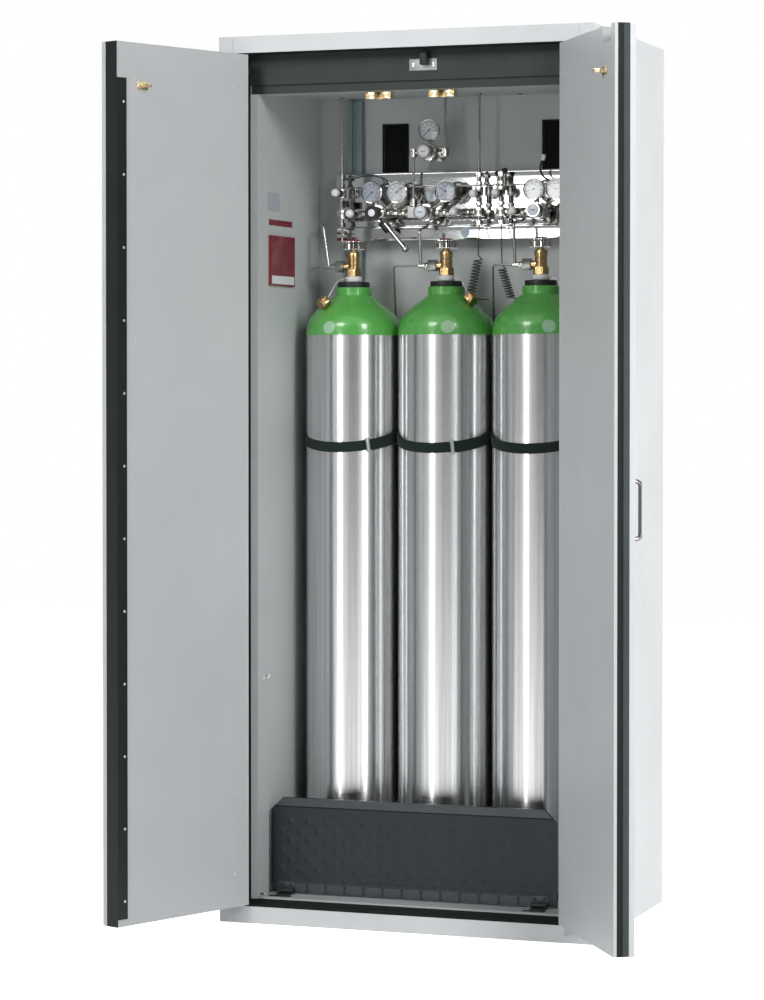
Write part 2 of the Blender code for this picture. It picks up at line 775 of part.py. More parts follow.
def frame_seal():
    """Intumescent seal strip round the door opening: two jambs, header ends and sill."""
    outer = DOOR_ZONE_EDGE - FIT_GAP
    inner = INNER_HALF + LINER_EDGE
    back = BOARD_FRONT - FIT_GAP
    low = PLINTH_HEIGHT + FIT_GAP
    top = FASCIA_BOTTOM - FIT_GAP
    strips = [box((-outer, JAMB_FRONT, low), (outer, back, seal_sill_top()))]
    for side in (-1, 1):
        strips.append(leaf_box(side, (inner, JAMB_FRONT, low), (outer, back, top)))
    finish(fuse(strips), "frame_seal", LOOKS["seal"])


def seal_sill_top():
    return FLOOR_HEIGHT - SHEET * 4


def floor_tray():
    """Floor sheet with its front lip and the two ramp hinge brackets with their pins."""
    reach = INNER_HALF - FIT_GAP
    sheet = box((-reach, JAMB_FRONT, FLOOR_HEIGHT - SHEET), (reach, INNER_BACK, FLOOR_HEIGHT))
    lip = box((-reach, JAMB_FRONT, FLOOR_HEIGHT - SHEET * 3), (reach, JAMB_FRONT + SHEET, FLOOR_HEIGHT))
    props = [
        box(
            (share * reach - SHEET * 2, BOARD_FRONT + OVERRUN, PLINTH_HEIGHT + FIT_GAP),
            (share * reach + SHEET * 2, INNER_BACK - OVERRUN, FLOOR_HEIGHT - SHEET / 2),
        )
        for share in (-0.9, -0.6, -0.3, 0, 0.3, 0.6, 0.9)
    ]
    hinges = []
    for centre in ramp_hinge_centres():
        half = RAMP_KNUCKLE_LENGTH / 2 + FIT_GAP
        ends = half + RAMP_LUG_THICKNESS
        for side in (-1, 1):
            edges = sorted((centre + side * half, centre + side * ends))
            hinges.append(
                box(
                    (edges[0], RAMP_HINGE_Y - RAMP_LUG_HALF, FLOOR_HEIGHT - SHEET / 2),
                    (edges[1], RAMP_HINGE_Y + RAMP_LUG_HALF, RAMP_HINGE_Z + RAMP_LUG_HALF),
                )
            )
        hinges.append(
            rod(
                (centre - ends + SHEET, RAMP_HINGE_Y, RAMP_HINGE_Z),
                (centre + ends - SHEET, RAMP_HINGE_Y, RAMP_HINGE_Z),
                RAMP_PIN_RADIUS,
            )
        )
    finish(fuse([sheet, lip, *props, *hinges]), "floor_tray", LOOKS["board"])


def ramp_hinge_centres():
    inset = RAMP_HINGE_INSET
    return (RAMP_LEFT + inset, RAMP_RIGHT - inset)


def vents():
    """Slotted vent plates, each over its duct window."""
    back = INNER_BACK
    front = back - VENT_THICKNESS
    pitch = (VENT_HEIGHT - VENT_FRAME * 2) / VENT_ROWS
    for x, name in zip(VENT_PLACES, ("vent_grille_left", "vent_grille_right")):
        half = VENT_WIDTH / 2 + VENT_FRAME
        low = VENT_TOP - VENT_HEIGHT
        plate = box((x - half, front, low), (x + half, back, VENT_TOP))
        slots = []
        for row in range(VENT_ROWS):
            centre = low + VENT_FRAME + pitch * (row + 0.5)
            slot = pitch * VENT_SLOT_SHARE / 2
            slots.append(
                box(
                    (x - VENT_WIDTH / 2, front - OVERRUN, centre - slot),
                    (x + VENT_WIDTH / 2, back + OVERRUN, centre + slot),
                )
            )
        finish(cut(plate, slots), name, LOOKS["seal"])


# Doors


def leaf_box(side, low, high):
    """A box given with x measured from the cabinet's centre towards one side."""
    edges = sorted((side * low[0], side * high[0]))
    return box((edges[0], low[1], low[2]), (edges[1], high[1], high[2]))


def leaf_shell(side, lip):
    """Steel pan of a door with a rounded hinge corner and its two pivot pins."""
    corner = DOOR_CORNER_RADIUS
    outline = [(DOOR_FREE, DOOR_BACK), (DOOR_FREE, FRONT)]
    for step in range(ARC_STEPS):
        angle = -pi / 2 + pi / 2 * step / (ARC_STEPS - 1)
        outline.append((DOOR_EDGE - corner + corner * cos(angle), FRONT + corner + corner * sin(angle)))
    outline.append((DOOR_EDGE, DOOR_BACK))
    pan = prism(mirrored(outline, side), DOOR_BOTTOM, DOOR_TOP)
    skin = DOOR_SKIN
    hollow = leaf_box(
        side,
        (DOOR_FREE + skin, FRONT + skin, DOOR_BOTTOM + skin),
        (DOOR_EDGE - corner - skin, DOOR_BACK + OVERRUN, DOOR_TOP - skin),
    )
    free_edge = leaf_box(
        side,
        (DOOR_FREE - OVERRUN, FRONT + lip, DOOR_BOTTOM - OVERRUN),
        (DOOR_FREE + skin + OVERRUN, DOOR_BACK + OVERRUN, DOOR_TOP + OVERRUN),
    )
    pan = cut(pan, [hollow, free_edge])
    pins = []
    for start, end in ((DOOR_BOTTOM + skin / 2, DOOR_BOTTOM - HINGE_PIN_REACH), (DOOR_TOP - skin / 2, DOOR_TOP + HINGE_PIN_REACH)):
        pins.append(rod((side * HINGE_X, HINGE_Y, start), (side * HINGE_X, HINGE_Y, end), HINGE_PIN_RADIUS))
    return fuse([pan, *pins])


def striker(side):
    """Tongue and plate on the inner face that the ball catch grips."""
    x = RIGHT_CATCH_X if side > 0 else LEFT_CATCH_X
    z = CEILING - CATCH_HEIGHT / 2
    plate = leaf_box(
        side,
        (x - STRIKER_PLATE_WIDTH / 2, DOOR_BACK - SHEET, z - CATCH_HEIGHT / 2),
        (x + STRIKER_PLATE_WIDTH / 2, DOOR_BACK + STRIKER_PLATE_THICKNESS, z + CATCH_HEIGHT / 2),
    )
    tongue = leaf_box(
        side,
        (x - STRIKER_WIDTH / 2, DOOR_BACK - SHEET, z - STRIKER_HEIGHT / 2),
        (x + STRIKER_WIDTH / 2, DOOR_BACK + STRIKER_REACH, z + STRIKER_HEIGHT / 2),
    )
    return [plate, tongue]


def leaf_board(side, free_start):
    """Insulating board and inner face of a door, with the catch striker."""
    skin = DOOR_SKIN + FIT_GAP
    board = leaf_box(
        side,
        (free_start, FRONT + skin, DOOR_BOTTOM + skin),
        (DOOR_EDGE - DOOR_CORNER_RADIUS - skin, DOOR_BACK, DOOR_TOP - skin),
    )
    return fuse([board, *striker(side)])


def left_door():
    """The leaf that closes first: pan, board and the dark meeting profile."""
    hinge = pivot("left_door_hinge", (-HINGE_X, HINGE_Y, 0))
    strip = EDGE_STRIP_THICKNESS + FIT_GAP
    shell = finish(leaf_shell(-1, EDGE_SKIN_LIP), "left_door_shell", LOOKS["painted"])
    board = finish(leaf_board(-1, DOOR_FREE + strip), "left_door_board", LOOKS["board"])
    end_face = leaf_box(
        -1,
        (DOOR_FREE, FRONT + EDGE_SKIN_LIP + FIT_GAP, DOOR_BOTTOM),
        (DOOR_FREE + EDGE_STRIP_THICKNESS, DOOR_BACK + FIT_GAP, DOOR_TOP),
    )
    inner_face = leaf_box(
        -1,
        (DOOR_FREE, DOOR_BACK + FIT_GAP, DOOR_BOTTOM + EDGE_STRIP_BOTTOM_GAP),
        (DOOR_FREE + EDGE_STRIP_WIDTH, DOOR_BACK + DOOR_BACK_GAP - FIT_GAP, DOOR_TOP - EDGE_STRIP_TOP_GAP),
    )
    joint = leaf_box(
        -1,
        (DOOR_FREE, DOOR_BACK - SHEET, DOOR_BOTTOM + EDGE_STRIP_BOTTOM_GAP),
        (DOOR_FREE + EDGE_STRIP_THICKNESS, DOOR_BACK + SHEET, DOOR_TOP - EDGE_STRIP_TOP_GAP),
    )
    profile = finish(fuse([end_face, inner_face, joint]), "left_door_meeting_profile", LOOKS["seal"])
    for piece in (shell, board, profile):
        hang_on(piece, hinge)
    hinge.rotation_euler.z = -LEFT_DOOR_OPEN


def right_door():
    """The handle leaf: pan, board, edge seal and bow handle."""
    hinge = pivot("right_door_hinge", (HINGE_X, HINGE_Y, 0))
    strip = EDGE_STRIP_THICKNESS + FIT_GAP
    shell = leaf_shell(1, EDGE_SKIN_LIP)
    board = leaf_board(1, DOOR_FREE + strip)
    edge = box(
        (DOOR_FREE, DOOR_BACK - EDGE_INNER_LIP, DOOR_BOTTOM + DOOR_SKIN + FIT_GAP),
        (DOOR_FREE + strip + SHEET, DOOR_BACK, DOOR_TOP - DOOR_SKIN - FIT_GAP),
    )
    board = fuse([board, edge])
    notch = box(
        (NOTCH_X - NOTCH_WIDTH / 2, DOOR_BACK - NOTCH_DEPTH, DOOR_TOP - NOTCH_HEIGHT),
        (NOTCH_X + NOTCH_WIDTH / 2, DOOR_BACK + OVERRUN, DOOR_TOP + OVERRUN),
    )
    board = cut(board, [notch])
    slot = box(
        (NOTCH_X - NOTCH_WIDTH / 2, DOOR_BACK - NOTCH_DEPTH, DOOR_TOP - DOOR_SKIN - OVERRUN),
        (NOTCH_X + NOTCH_WIDTH / 2, DOOR_BACK + OVERRUN, DOOR_TOP + OVERRUN),
    )
    shell = cut(shell, [slot])
    seal = box(
        (DOOR_FREE, FRONT + EDGE_SKIN_LIP + FIT_GAP, DOOR_BOTTOM),
        (DOOR_FREE + EDGE_STRIP_THICKNESS, DOOR_BACK - EDGE_INNER_LIP - FIT_GAP, DOOR_TOP),
    )
    pieces = [
        finish(shell, "right_door_shell", LOOKS["painted"]),
        finish(board, "right_door_board", LOOKS["board"]),
        finish(seal, "right_door_edge_seal", LOOKS["seal"]),
        finish(bow_handle(), "door_handle", LOOKS["chrome"], smooth=True),
    ]
    for piece in pieces:
        hang_on(piece, hinge)
    hinge.rotation_euler.z = RIGHT_DOOR_OPEN


def bow_handle():
    """Square-shouldered bow handle on two round feet."""
    x = DOOR_FREE + HANDLE_FROM_EDGE
    face = FRONT - FIT_GAP
    out = face - HANDLE_REACH
    half = HANDLE_LENGTH / 2
    points = []
    for end in (-1, 1):
        legs = [(x, face, HANDLE_HEIGHT + end * half)]
        for step in range(ARC_STEPS):
            angle = pi / 2 * step / (ARC_STEPS - 1)
            y = out + HANDLE_CORNER - HANDLE_CORNER * sin(angle)
            z = half - HANDLE_CORNER + HANDLE_CORNER * cos(angle)
            legs.append((x, y, HANDLE_HEIGHT + end * z))
        points += legs if end < 0 else legs[::-1]
    bow = tube(points, HANDLE_ROD_RADIUS)
    feet = [
        rod(
            (x, face, HANDLE_HEIGHT + end * half),
            (x, face - HANDLE_FOOT_THICKNESS, HANDLE_HEIGHT + end * half),
            HANDLE_FOOT_RADIUS,
        )
        for end in (-1, 1)
    ]
    return fuse([bow, *feet])


def ramp():
    """Roll-in flap that leans against its stop and folds down over the sill."""
    bottom = FLOOR_HEIGHT + RAMP_BOTTOM_GAP
    top = bottom + RAMP_HEIGHT
    outline = [
        (RAMP_LEFT, bottom),
        (RAMP_RIGHT, bottom),
        (RAMP_RIGHT, top - RAMP_CHAMFER),
        (RAMP_RIGHT - RAMP_CHAMFER, top),
        (RAMP_LEFT + RAMP_CHAMFER, top),
        (RAMP_LEFT, top - RAMP_CHAMFER),
    ]
    plate = prism(outline, 0, RAMP_THICKNESS)
    plate.matrix_world = Matrix.Translation((0, RAMP_Y, 0)) @ Matrix.Rotation(pi / 2, 4, "X") @ plate.matrix_world
    top_lip = box(
        (RAMP_LEFT + RAMP_CHAMFER + FIT_GAP, RAMP_Y - RAMP_THICKNESS / 2, top - RAMP_THICKNESS),
        (RAMP_RIGHT - RAMP_CHAMFER - FIT_GAP, RAMP_Y + RAMP_LIP, top - FIT_GAP),
    )
    pieces = [plate, top_lip]
    for centre in ramp_hinge_centres():
        half = RAMP_KNUCKLE_LENGTH / 2
        pieces.append(
            rod(
                (centre - half, RAMP_HINGE_Y, RAMP_HINGE_Z),
                (centre + half, RAMP_HINGE_Y, RAMP_HINGE_Z),
                RAMP_KNUCKLE_RADIUS,
            )
        )
        pieces.append(
            box(
                (centre - half + FIT_GAP, RAMP_HINGE_Y, RAMP_HINGE_Z - RAMP_KNUCKLE_RADIUS / 3),
                (centre + half - FIT_GAP, RAMP_Y - RAMP_THICKNESS / 2, RAMP_HINGE_Z + RAMP_KNUCKLE_RADIUS * 0.8),
            )
        )
    body = fuse(pieces)
    bores = [
        rod(
            (centre - RAMP_KNUCKLE_LENGTH, RAMP_HINGE_Y, RAMP_HINGE_Z),
            (centre + RAMP_KNUCKLE_LENGTH, RAMP_HINGE_Y, RAMP_HINGE_Z),
            RAMP_PIN_RADIUS + RAMP_PIN_PLAY,
        )
        for centre in ramp_hinge_centres()
    ]
    body = cut(body, bores)
    recentre(body, (0, RAMP_HINGE_Y, RAMP_HINGE_Z))
    finish(body, "ramp", LOOKS["slate"])


# Header fittings


def latch_bracket():
    """Closing bracket in the middle of the header."""
    z = FASCIA_BOTTOM - BRACKET_DROP
    back = JAMB_FRONT - FIT_GAP
    front = back - BRACKET_PLATE_THICKNESS
    plate = box(
        (BRACKET_X - BRACKET_PLATE_WIDTH / 2, front, z - BRACKET_PLATE_HEIGHT / 2),
        (BRACKET_X + BRACKET_PLATE_WIDTH / 2, back, z + BRACKET_PLATE_HEIGHT / 2),
    )
    low = FASCIA_BOTTOM - BRACKET_BLOCK_DROP
    block = box(
        (BRACKET_BLOCK_X - BRACKET_BLOCK_WIDTH / 2, front - BRACKET_BLOCK_REACH, low),
        (BRACKET_BLOCK_X + BRACKET_BLOCK_WIDTH / 2, back - FIT_GAP, low + BRACKET_BLOCK_HEIGHT),
    )
    finish(fuse([plate, block]), "latch_bracket", LOOKS["zinc"])


def ball_catches():
    """Double-ball catches under the front edge of the ceiling."""
    top = CEILING - FIT_GAP
    low = top - CATCH_HEIGHT
    front = DOOR_BACK + CATCH_SET_BACK
    for x, name in ((-LEFT_CATCH_X, "ball_catch_left"), (RIGHT_CATCH_X, "ball_catch_right")):
        body = box((x - CATCH_WIDTH / 2, front, low), (x + CATCH_WIDTH / 2, front + CATCH_DEPTH, top))
        mouth = box(
            (x - CATCH_MOUTH / 2, front - OVERRUN, low - OVERRUN),
            (x + CATCH_MOUTH / 2, front + CATCH_MOUTH_DEPTH, top - SHEET),
        )
        finish(cut(body, [mouth]), name, LOOKS["brass"])


def document_holder():
    """Open-topped pocket on the left wall."""
    wall = -INNER_HALF + FIT_GAP
    back = HOLDER_FRONT + HOLDER_LENGTH
    top = HOLDER_BOTTOM + HOLDER_HEIGHT
    pocket = box((wall, HOLDER_FRONT, HOLDER_BOTTOM), (wall + HOLDER_THICKNESS, back, top))
    space = box(
        (wall + HOLDER_WALL, HOLDER_FRONT + HOLDER_WALL, HOLDER_BOTTOM + HOLDER_WALL),
        (wall + HOLDER_THICKNESS - HOLDER_WALL, back - HOLDER_WALL, top + OVERRUN),
    )
    finish(cut(pocket, [space]), "document_holder", LOOKS["red"])


# Gas cylinders, valves and straps


def cylinder_x(index):
    return (index - (CYLINDER_COUNT - 1) / 2) * CYLINDER_PITCH


def cylinder_profile():
    """Radius and height above the foot, from the neck down to the foot."""
    neck = COLLAR_HEIGHT + COLLAR_LENGTH
    profile = [
        (0, neck + NECK_RING_LENGTH),
        (NECK_RING_RADIUS, neck + NECK_RING_LENGTH),
        (NECK_RING_RADIUS, neck),
        (COLLAR_RADIUS, neck),
        (COLLAR_RADIUS, COLLAR_HEIGHT),
    ]
    rise = COLLAR_HEIGHT - SHOULDER_HEIGHT
    for height_share, radius_share in SHOULDER_SHARES:
        profile.append((CYLINDER_RADIUS * radius_share, SHOULDER_HEIGHT + rise * height_share))
    fillet = CYLINDER_FOOT_FILLET
    for step in range(3):
        angle = pi / 2 * step / 2
        profile.append((CYLINDER_RADIUS - fillet + fillet * cos(angle), fillet - fillet * sin(angle)))
    profile.append((0, 0))
    return profile


def gas_cylinders():
    for index in range(CYLINDER_COUNT):
        centre = (cylinder_x(index), CYLINDER_Y, FLOOR_HEIGHT + FIT_GAP)
        body = turned(cylinder_profile(), centre, BIG_SEGMENTS)
        finish(body, f"cylinder_{index + 1}", LOOKS["aluminium"], smooth=True)


def cylinder_valves():
    """Brass valve on its neck collar, with a side outlet and a tethered outlet cap."""
    y = CYLINDER_Y
    for index in range(CYLINDER_COUNT):
        x = cylinder_x(index)
        body_top = VALVE_BODY_BASE + VALVE_BODY_LENGTH
        shapes = [
            upright(x, y, VALVE_BASE, VALVE_NUT_BASE + SHEET, VALVE_COLLAR_RADIUS, ROUND_SEGMENTS),
            upright(x, y, VALVE_NUT_BASE, VALVE_WAIST_BASE, VALVE_NUT_RADIUS, HEX_SEGMENTS),
            upright(x, y, VALVE_WAIST_BASE - SHEET, VALVE_BODY_BASE + SHEET, VALVE_WAIST_RADIUS, ROUND_SEGMENTS),
            upright(x, y, VALVE_BODY_BASE, body_top, VALVE_BODY_RADIUS, ROUND_SEGMENTS),
            upright(x, y, body_top - SHEET, VALVE_TOP, VALVE_SPINDLE_RADIUS),
            rod((x, y, OUTLET_Z), (x - OUTLET_REACH, y, OUTLET_Z), OUTLET_RADIUS),
        ]
        shapes += outlet_cap(x, y, CAP_DIRECTIONS[index])
        finish(fuse(shapes), f"cylinder_valve_{index + 1}", LOOKS["brass"], smooth=True)


def outlet_cap(x, y, direction):
    """Hex cap that hangs on a chain from the neck collar and rests beside the shoulder."""
    out = Vector((cos(direction), sin(direction), 0))
    axis = Vector((x, y, 0))
    up = Vector((0, 0, 1))
    collar = VALVE_BASE + VALVE_COLLAR_LENGTH * 0.6
    cap = axis + out * CAP_DISTANCE + up * (VALVE_BASE - CAP_DROP)
    slope = (out * 0.8 - up * 0.6) * CAP_LENGTH / 2
    chain = [
        axis + out * (VALVE_COLLAR_RADIUS * 0.5) + up * collar,
        axis + out * (NECK_RING_RADIUS * 1.25) + up * (VALVE_BASE + OVERRUN),
        axis + out * (CAP_DISTANCE * 0.72) + up * (VALVE_BASE - CAP_DROP * 0.42),
        cap - slope * 0.5,
    ]
    return [tube(chain, CAP_CHAIN_RADIUS, 1), rod(cap - slope, cap + slope, CAP_RADIUS, HEX_SEGMENTS)]


def handwheels():
    """Lobed handwheels that open the cylinder valves."""
    for index in range(CYLINDER_COUNT):
        low = VALVE_TOP + FIT_GAP
        count = HANDWHEEL_LOBES * 6
        rim = []
        for step in range(count):
            angle = 2 * pi * step / count
            radius = HANDWHEEL_RADIUS - HANDWHEEL_LOBE_DEPTH * (1 - cos(HANDWHEEL_LOBES * angle)) / 2
            rim.append((radius * cos(angle), radius * sin(angle)))
        wheel = prism(rim, low, low + HANDWHEEL_HEIGHT)
        cap = rod(
            (0, 0, low + HANDWHEEL_HEIGHT - SHEET),
            (0, 0, low + HANDWHEEL_HEIGHT + HANDWHEEL_CAP_HEIGHT),
            HANDWHEEL_CAP_RADIUS,
            ROUND_SEGMENTS,
        )
        wheel = fuse([wheel, cap])
        recentre(wheel, (0, 0, low))
        wheel.location = (cylinder_x(index), CYLINDER_Y, low)
        finish(wheel, f"handwheel_{index + 1}", LOOKS["chrome"])


def strap_height(y):
    """Lower edge of a strap at a given depth: it climbs towards the wall rail."""
    front = CYLINDER_Y - CYLINDER_RADIUS
    return STRAP_FRONT_HEIGHT - STRAP_WIDTH / 2 + (y - front) * STRAP_RISE_SHARE


def straps():
    """Webbing straps with their buckles, from the wall rail round each cylinder."""
    radius = CYLINDER_RADIUS + STRAP_CLEARANCE
    middle = radius + STRAP_THICKNESS / 2
    rail_front = INNER_BACK - strap_rail_depth()
    for index in range(CYLINDER_COUNT):
        x = cylinder_x(index)
        route = [(-middle, rail_front - FIT_GAP)]
        for step in range(STRAP_STEPS + 1):
            angle = pi + pi * step / STRAP_STEPS
            route.append((middle * cos(angle), CYLINDER_Y + middle * sin(angle)))
        route.append((middle, rail_front - FIT_GAP))
        bm = bmesh.new()
        lower = [bm.verts.new((a, b, strap_height(b))) for a, b in route]
        edges = [bm.edges.new(pair) for pair in zip(lower, lower[1:])]
        made = bmesh.ops.extrude_edge_only(bm, edges=edges)
        upper = [v for v in made["geom"] if isinstance(v, bmesh.types.BMVert)]
        bmesh.ops.translate(bm, verts=upper, vec=(0, 0, STRAP_WIDTH))
        band = mesh_object("band", bm)
        band.location.x = x
        solidify = band.modifiers.new("webbing", "SOLIDIFY")
        solidify.thickness = STRAP_THICKNESS
        solidify.offset = 0
        band = as_mesh(band)
        angle = radians((-53, -64, -60)[index])
        out = Vector((cos(angle), sin(angle), 0))
        place = Vector((x, CYLINDER_Y, 0)) + out * (radius + STRAP_THICKNESS + BUCKLE_THICKNESS / 2 - STRAP_THICKNESS / 3)
        buckle = box(
            (-BUCKLE_THICKNESS / 2, -BUCKLE_WIDTH / 2, -BUCKLE_HEIGHT / 2),
            (BUCKLE_THICKNESS / 2, BUCKLE_WIDTH / 2, BUCKLE_HEIGHT / 2),
        )
        place.z = strap_height(place.y) + STRAP_WIDTH / 2
        buckle.matrix_world = Matrix.Translation(place) @ Matrix.Rotation(angle, 4, "Z")
        finish(fuse([band, buckle]), f"strap_{index + 1}", LOOKS["webbing"])


def strap_rail_depth():
    return INNER_BACK - (CYLINDER_Y + CYLINDER_RADIUS) - FIT_GAP


def strap_rail():
    """Wall rail behind the cylinders that holds the straps."""
    front = INNER_BACK - strap_rail_depth()
    low = strap_height(front) + STRAP_WIDTH / 2 - STRAP_RAIL_HEIGHT / 2
    high = low + STRAP_RAIL_HEIGHT
    half = STRAP_RAIL_WIDTH / 2
    wall = STRAP_RAIL_WALL
    body = box((-half, front, low), (half, INNER_BACK, high))
    hollow = box((-half - OVERRUN, front + wall, low + wall), (half + OVERRUN, INNER_BACK + OVERRUN, high - wall))
    finish(cut(body, [hollow]), "strap_rail", LOOKS["zinc"])


# Gas panel and its fittings


def mounting_rail():
    """Slotted C rail on the rear wall, behind the gas panel."""
    half = RAIL_WIDTH / 2
    front = INNER_BACK - RAIL_DEPTH
    wall = RAIL_WALL
    mouth = RAIL_MOUTH / 2
    outline = [
        (-half, INNER_BACK),
        (-half, front),
        (-mouth, front),
        (-mouth, front + wall),
        (-half + wall, front + wall),
        (-half + wall, INNER_BACK - wall),
        (half - wall, INNER_BACK - wall),
        (half - wall, front + wall),
        (mouth, front + wall),
        (mouth, front),
        (half, front),
        (half, INNER_BACK),
    ]
    low = strap_height(INNER_BACK) + STRAP_WIDTH / 2 + STRAP_RAIL_HEIGHT
    rail = prism([(RAIL_X + x, y) for x, y in outline], low, CEILING_FACE - RAIL_TOP_GAP)
    finish(rail, "mounting_rail", LOOKS["zinc"])


def gas_panel():
    """Folded stainless panel: raised top and bottom strips, recessed field, end legs."""
    low = PANEL_BOTTOM
    high = low + PANEL_HEIGHT
    half = PANEL_WIDTH / 2
    front = PANEL_FRONT
    field = front + PANEL_RECESS
    back = INNER_BACK - RAIL_DEPTH - FIT_GAP
    edge = PANEL_EDGE_HEIGHT
    route = [
        (back, low),
        (front, low),
        (front, low + edge),
        (field, low + edge),
        (field, high - edge),
        (front, high - edge),
        (front, high),
        (back, high),
    ]
    sheet = PANEL_SHEET
    outline = list(route)
    outline += [
        (back, high - sheet),
        (front + sheet, high - sheet),
        (front + sheet, high - edge + sheet),
        (field + sheet, high - edge + sheet),
        (field + sheet, low + edge - sheet),
        (front + sheet, low + edge - sheet),
        (front + sheet, low + sheet),
        (back, low + sheet),
    ]
    panel = side_profile(outline, -half, half)
    legs = [
        leaf_box(
            side,
            (half - sheet, field + sheet / 2, low + sheet / 2),
            (half + FIT_GAP, INNER_BACK - FIT_GAP, high - sheet / 2),
        )
        for side in (-1, 1)
    ]
    finish(fuse([panel, *legs]), "gas_panel", LOOKS["stainless"])


def stack(x, riser_top):
    """Vertical line of blocks, nuts and tube, with a riser where one is given."""
    block = STACK_BLOCK_WIDTH / 2
    y = STATION_Y
    z = STACK_BOTTOM
    top = STACK_TOP
    height = top - z
    shapes = [
        rod((x, y, z), (x, y, top - height * 0.04), STACK_NECK_RADIUS),
        rod((x, y, top - height * 0.14), (x, y, top - height * 0.05), STACK_NUT_RADIUS, HEX_SEGMENTS),
        box((x - block, y - block, KNOB_ROW - block), (x + block, y + block, KNOB_ROW + block)),
        box((x - block * 0.8, y - block * 0.8, GAUGE_ROW - block), (x + block * 0.8, y + block * 0.8, GAUGE_ROW + block)),
        rod((x, y, z - block * 0.4), (x, y, z + block * 0.6), STACK_NUT_RADIUS, HEX_SEGMENTS),
    ]
    if riser_top:
        shapes.append(rod((x, y, top - height * 0.2), (x, y, riser_top), RISER_RADIUS, HEX_SEGMENTS + 2))
    return shapes


def panel_seat(x, z, radius):
    """Stem from the station line back to the panel's field."""
    return rod((x, STATION_Y, z), (x, PANEL_FRONT + PANEL_RECESS - FIT_GAP, z), radius)


def regulator(x):
    """Regulator body that faces forward, with its stem to the panel."""
    front = STATION_Y - REGULATOR_LENGTH / 2
    return [
        rod((x, STATION_Y + REGULATOR_LENGTH / 4, KNOB_ROW), (x, front, KNOB_ROW), REGULATOR_RADIUS, ROUND_SEGMENTS),
        rod(
            (x, front + SHEET, KNOB_ROW),
            (x, front - REGULATOR_BONNET_LENGTH, KNOB_ROW),
            REGULATOR_BONNET_RADIUS,
            ROUND_SEGMENTS,
            REGULATOR_BONNET_RADIUS * 0.6,
        ),
    ]


def gauge(x, z, radius, root_x):
    """Pressure gauge that faces forward on a stem from the regulator."""
    front = STATION_Y - GAUGE_THICKNESS * 1.5
    return [
        rod((x, front, z), (x, front + GAUGE_THICKNESS, z), radius, ROUND_SEGMENTS),
        rod((x, front + GAUGE_THICKNESS / 2, z - radius / 2), (root_x, STATION_Y, KNOB_ROW), GAUGE_STEM_RADIUS),
    ]


def housing(x, z):
    """Shut-off valve housing in front of the station line."""
    end = VALVE_HOUSING_RADIUS
    y = STATION_Y - STACK_BLOCK_WIDTH
    return rod((x, STATION_Y, z), (x, y - end, z), VALVE_HOUSING_RADIUS)


def housing_front():
    return STATION_Y - STACK_BLOCK_WIDTH - VALVE_HOUSING_RADIUS


def valve_places():
    """Shut-off valves: x and height of each."""
    block = STACK_BLOCK_WIDTH
    return (
        (LEFT_STACK_X, GAUGE_ROW),
        (LEFT_STACK_X + block * 1.75, KNOB_ROW),
        (MIDDLE_STACK_X - block * 2.3, KNOB_ROW),
        (MIDDLE_STACK_X, GAUGE_ROW - block * 0.4),
        (RIGHT_STACK_X, GAUGE_ROW - block * 0.3),
        (RIGHT_STACK_X + block * 2.0, KNOB_ROW),
    )


def gas_stations():
    """Three stations: each a valve stack, a station line, a regulator and its gauges."""
    places = valve_places()
    ceiling = CEILING_FACE - FIT_GAP
    plans = (
        ("gas_station_left", LEFT_STACK_X, ceiling, LEFT_REGULATOR_X, LEFT_GAUGES_X, places[0:2]),
        ("gas_station_middle", MIDDLE_STACK_X, ceiling, MIDDLE_REGULATOR_X, MIDDLE_GAUGES_X, places[2:4]),
        ("gas_station_right", RIGHT_STACK_X, 0, RIGHT_REGULATOR_X, RIGHT_GAUGES_X, places[4:6]),
    )
    extras = (left_extras, middle_extras, right_extras)
    for (name, stack_x, riser, regulator_x, gauges_x, valves), extra in zip(plans, extras):
        shapes = stack(stack_x, riser)
        shapes.append(rod((stack_x, STATION_Y, KNOB_ROW), (regulator_x, STATION_Y, KNOB_ROW), BAR_RADIUS))
        shapes += regulator(regulator_x)
        shapes.append(panel_seat(regulator_x, KNOB_ROW, BAR_RADIUS))
        shapes += [housing(x, z) for x, z in valves]
        shapes += extra(stack_x, regulator_x, gauges_x)
        finish(fuse(shapes), name, LOOKS["chrome"], smooth=True)


def left_extras(stack_x, regulator_x, gauges_x):
    """Two gauges, the bar on to the line block, the slanted outlet and the stack's lower tube."""
    block = STACK_BLOCK_WIDTH
    y = STATION_Y
    shapes = [piece for x in gauges_x for piece in gauge(x, GAUGE_ROW, GAUGE_RADIUS, regulator_x)]
    shapes.append(rod((regulator_x, y, KNOB_ROW), (LINE_INLET_X, y, KNOB_ROW), BAR_RADIUS))
    shapes.append(
        box(
            (LINE_INLET_X - block * 0.55, y - block * 0.45, KNOB_ROW - block * 0.5),
            (LINE_INLET_X + block * 0.55, y + block * 0.45, KNOB_ROW + block * 0.7),
        )
    )
    lower = [
        (stack_x, y, STACK_BOTTOM + block * 0.3),
        (stack_x, y, STACK_BOTTOM - block * 2),
        (stack_x + block * 0.3, y - block * 0.4, OUTLET_Z + block * 2.4),
        (stack_x + block * 1.2, CYLINDER_Y + block * 1.4, OUTLET_Z + block * 1.3),
    ]
    shapes.append(tube(smooth_route(lower, block / 2), OUTLET_TUBE_RADIUS / 2, 1))
    return shapes + outlet_tube(regulator_x)


def middle_extras(stack_x, regulator_x, gauges_x):
    """One large and one small gauge."""
    small = gauge(gauges_x[1], GAUGE_ROW - STACK_BLOCK_WIDTH / 2, SMALL_GAUGE_RADIUS, regulator_x)
    return gauge(gauges_x[0], GAUGE_ROW, GAUGE_RADIUS, regulator_x) + small


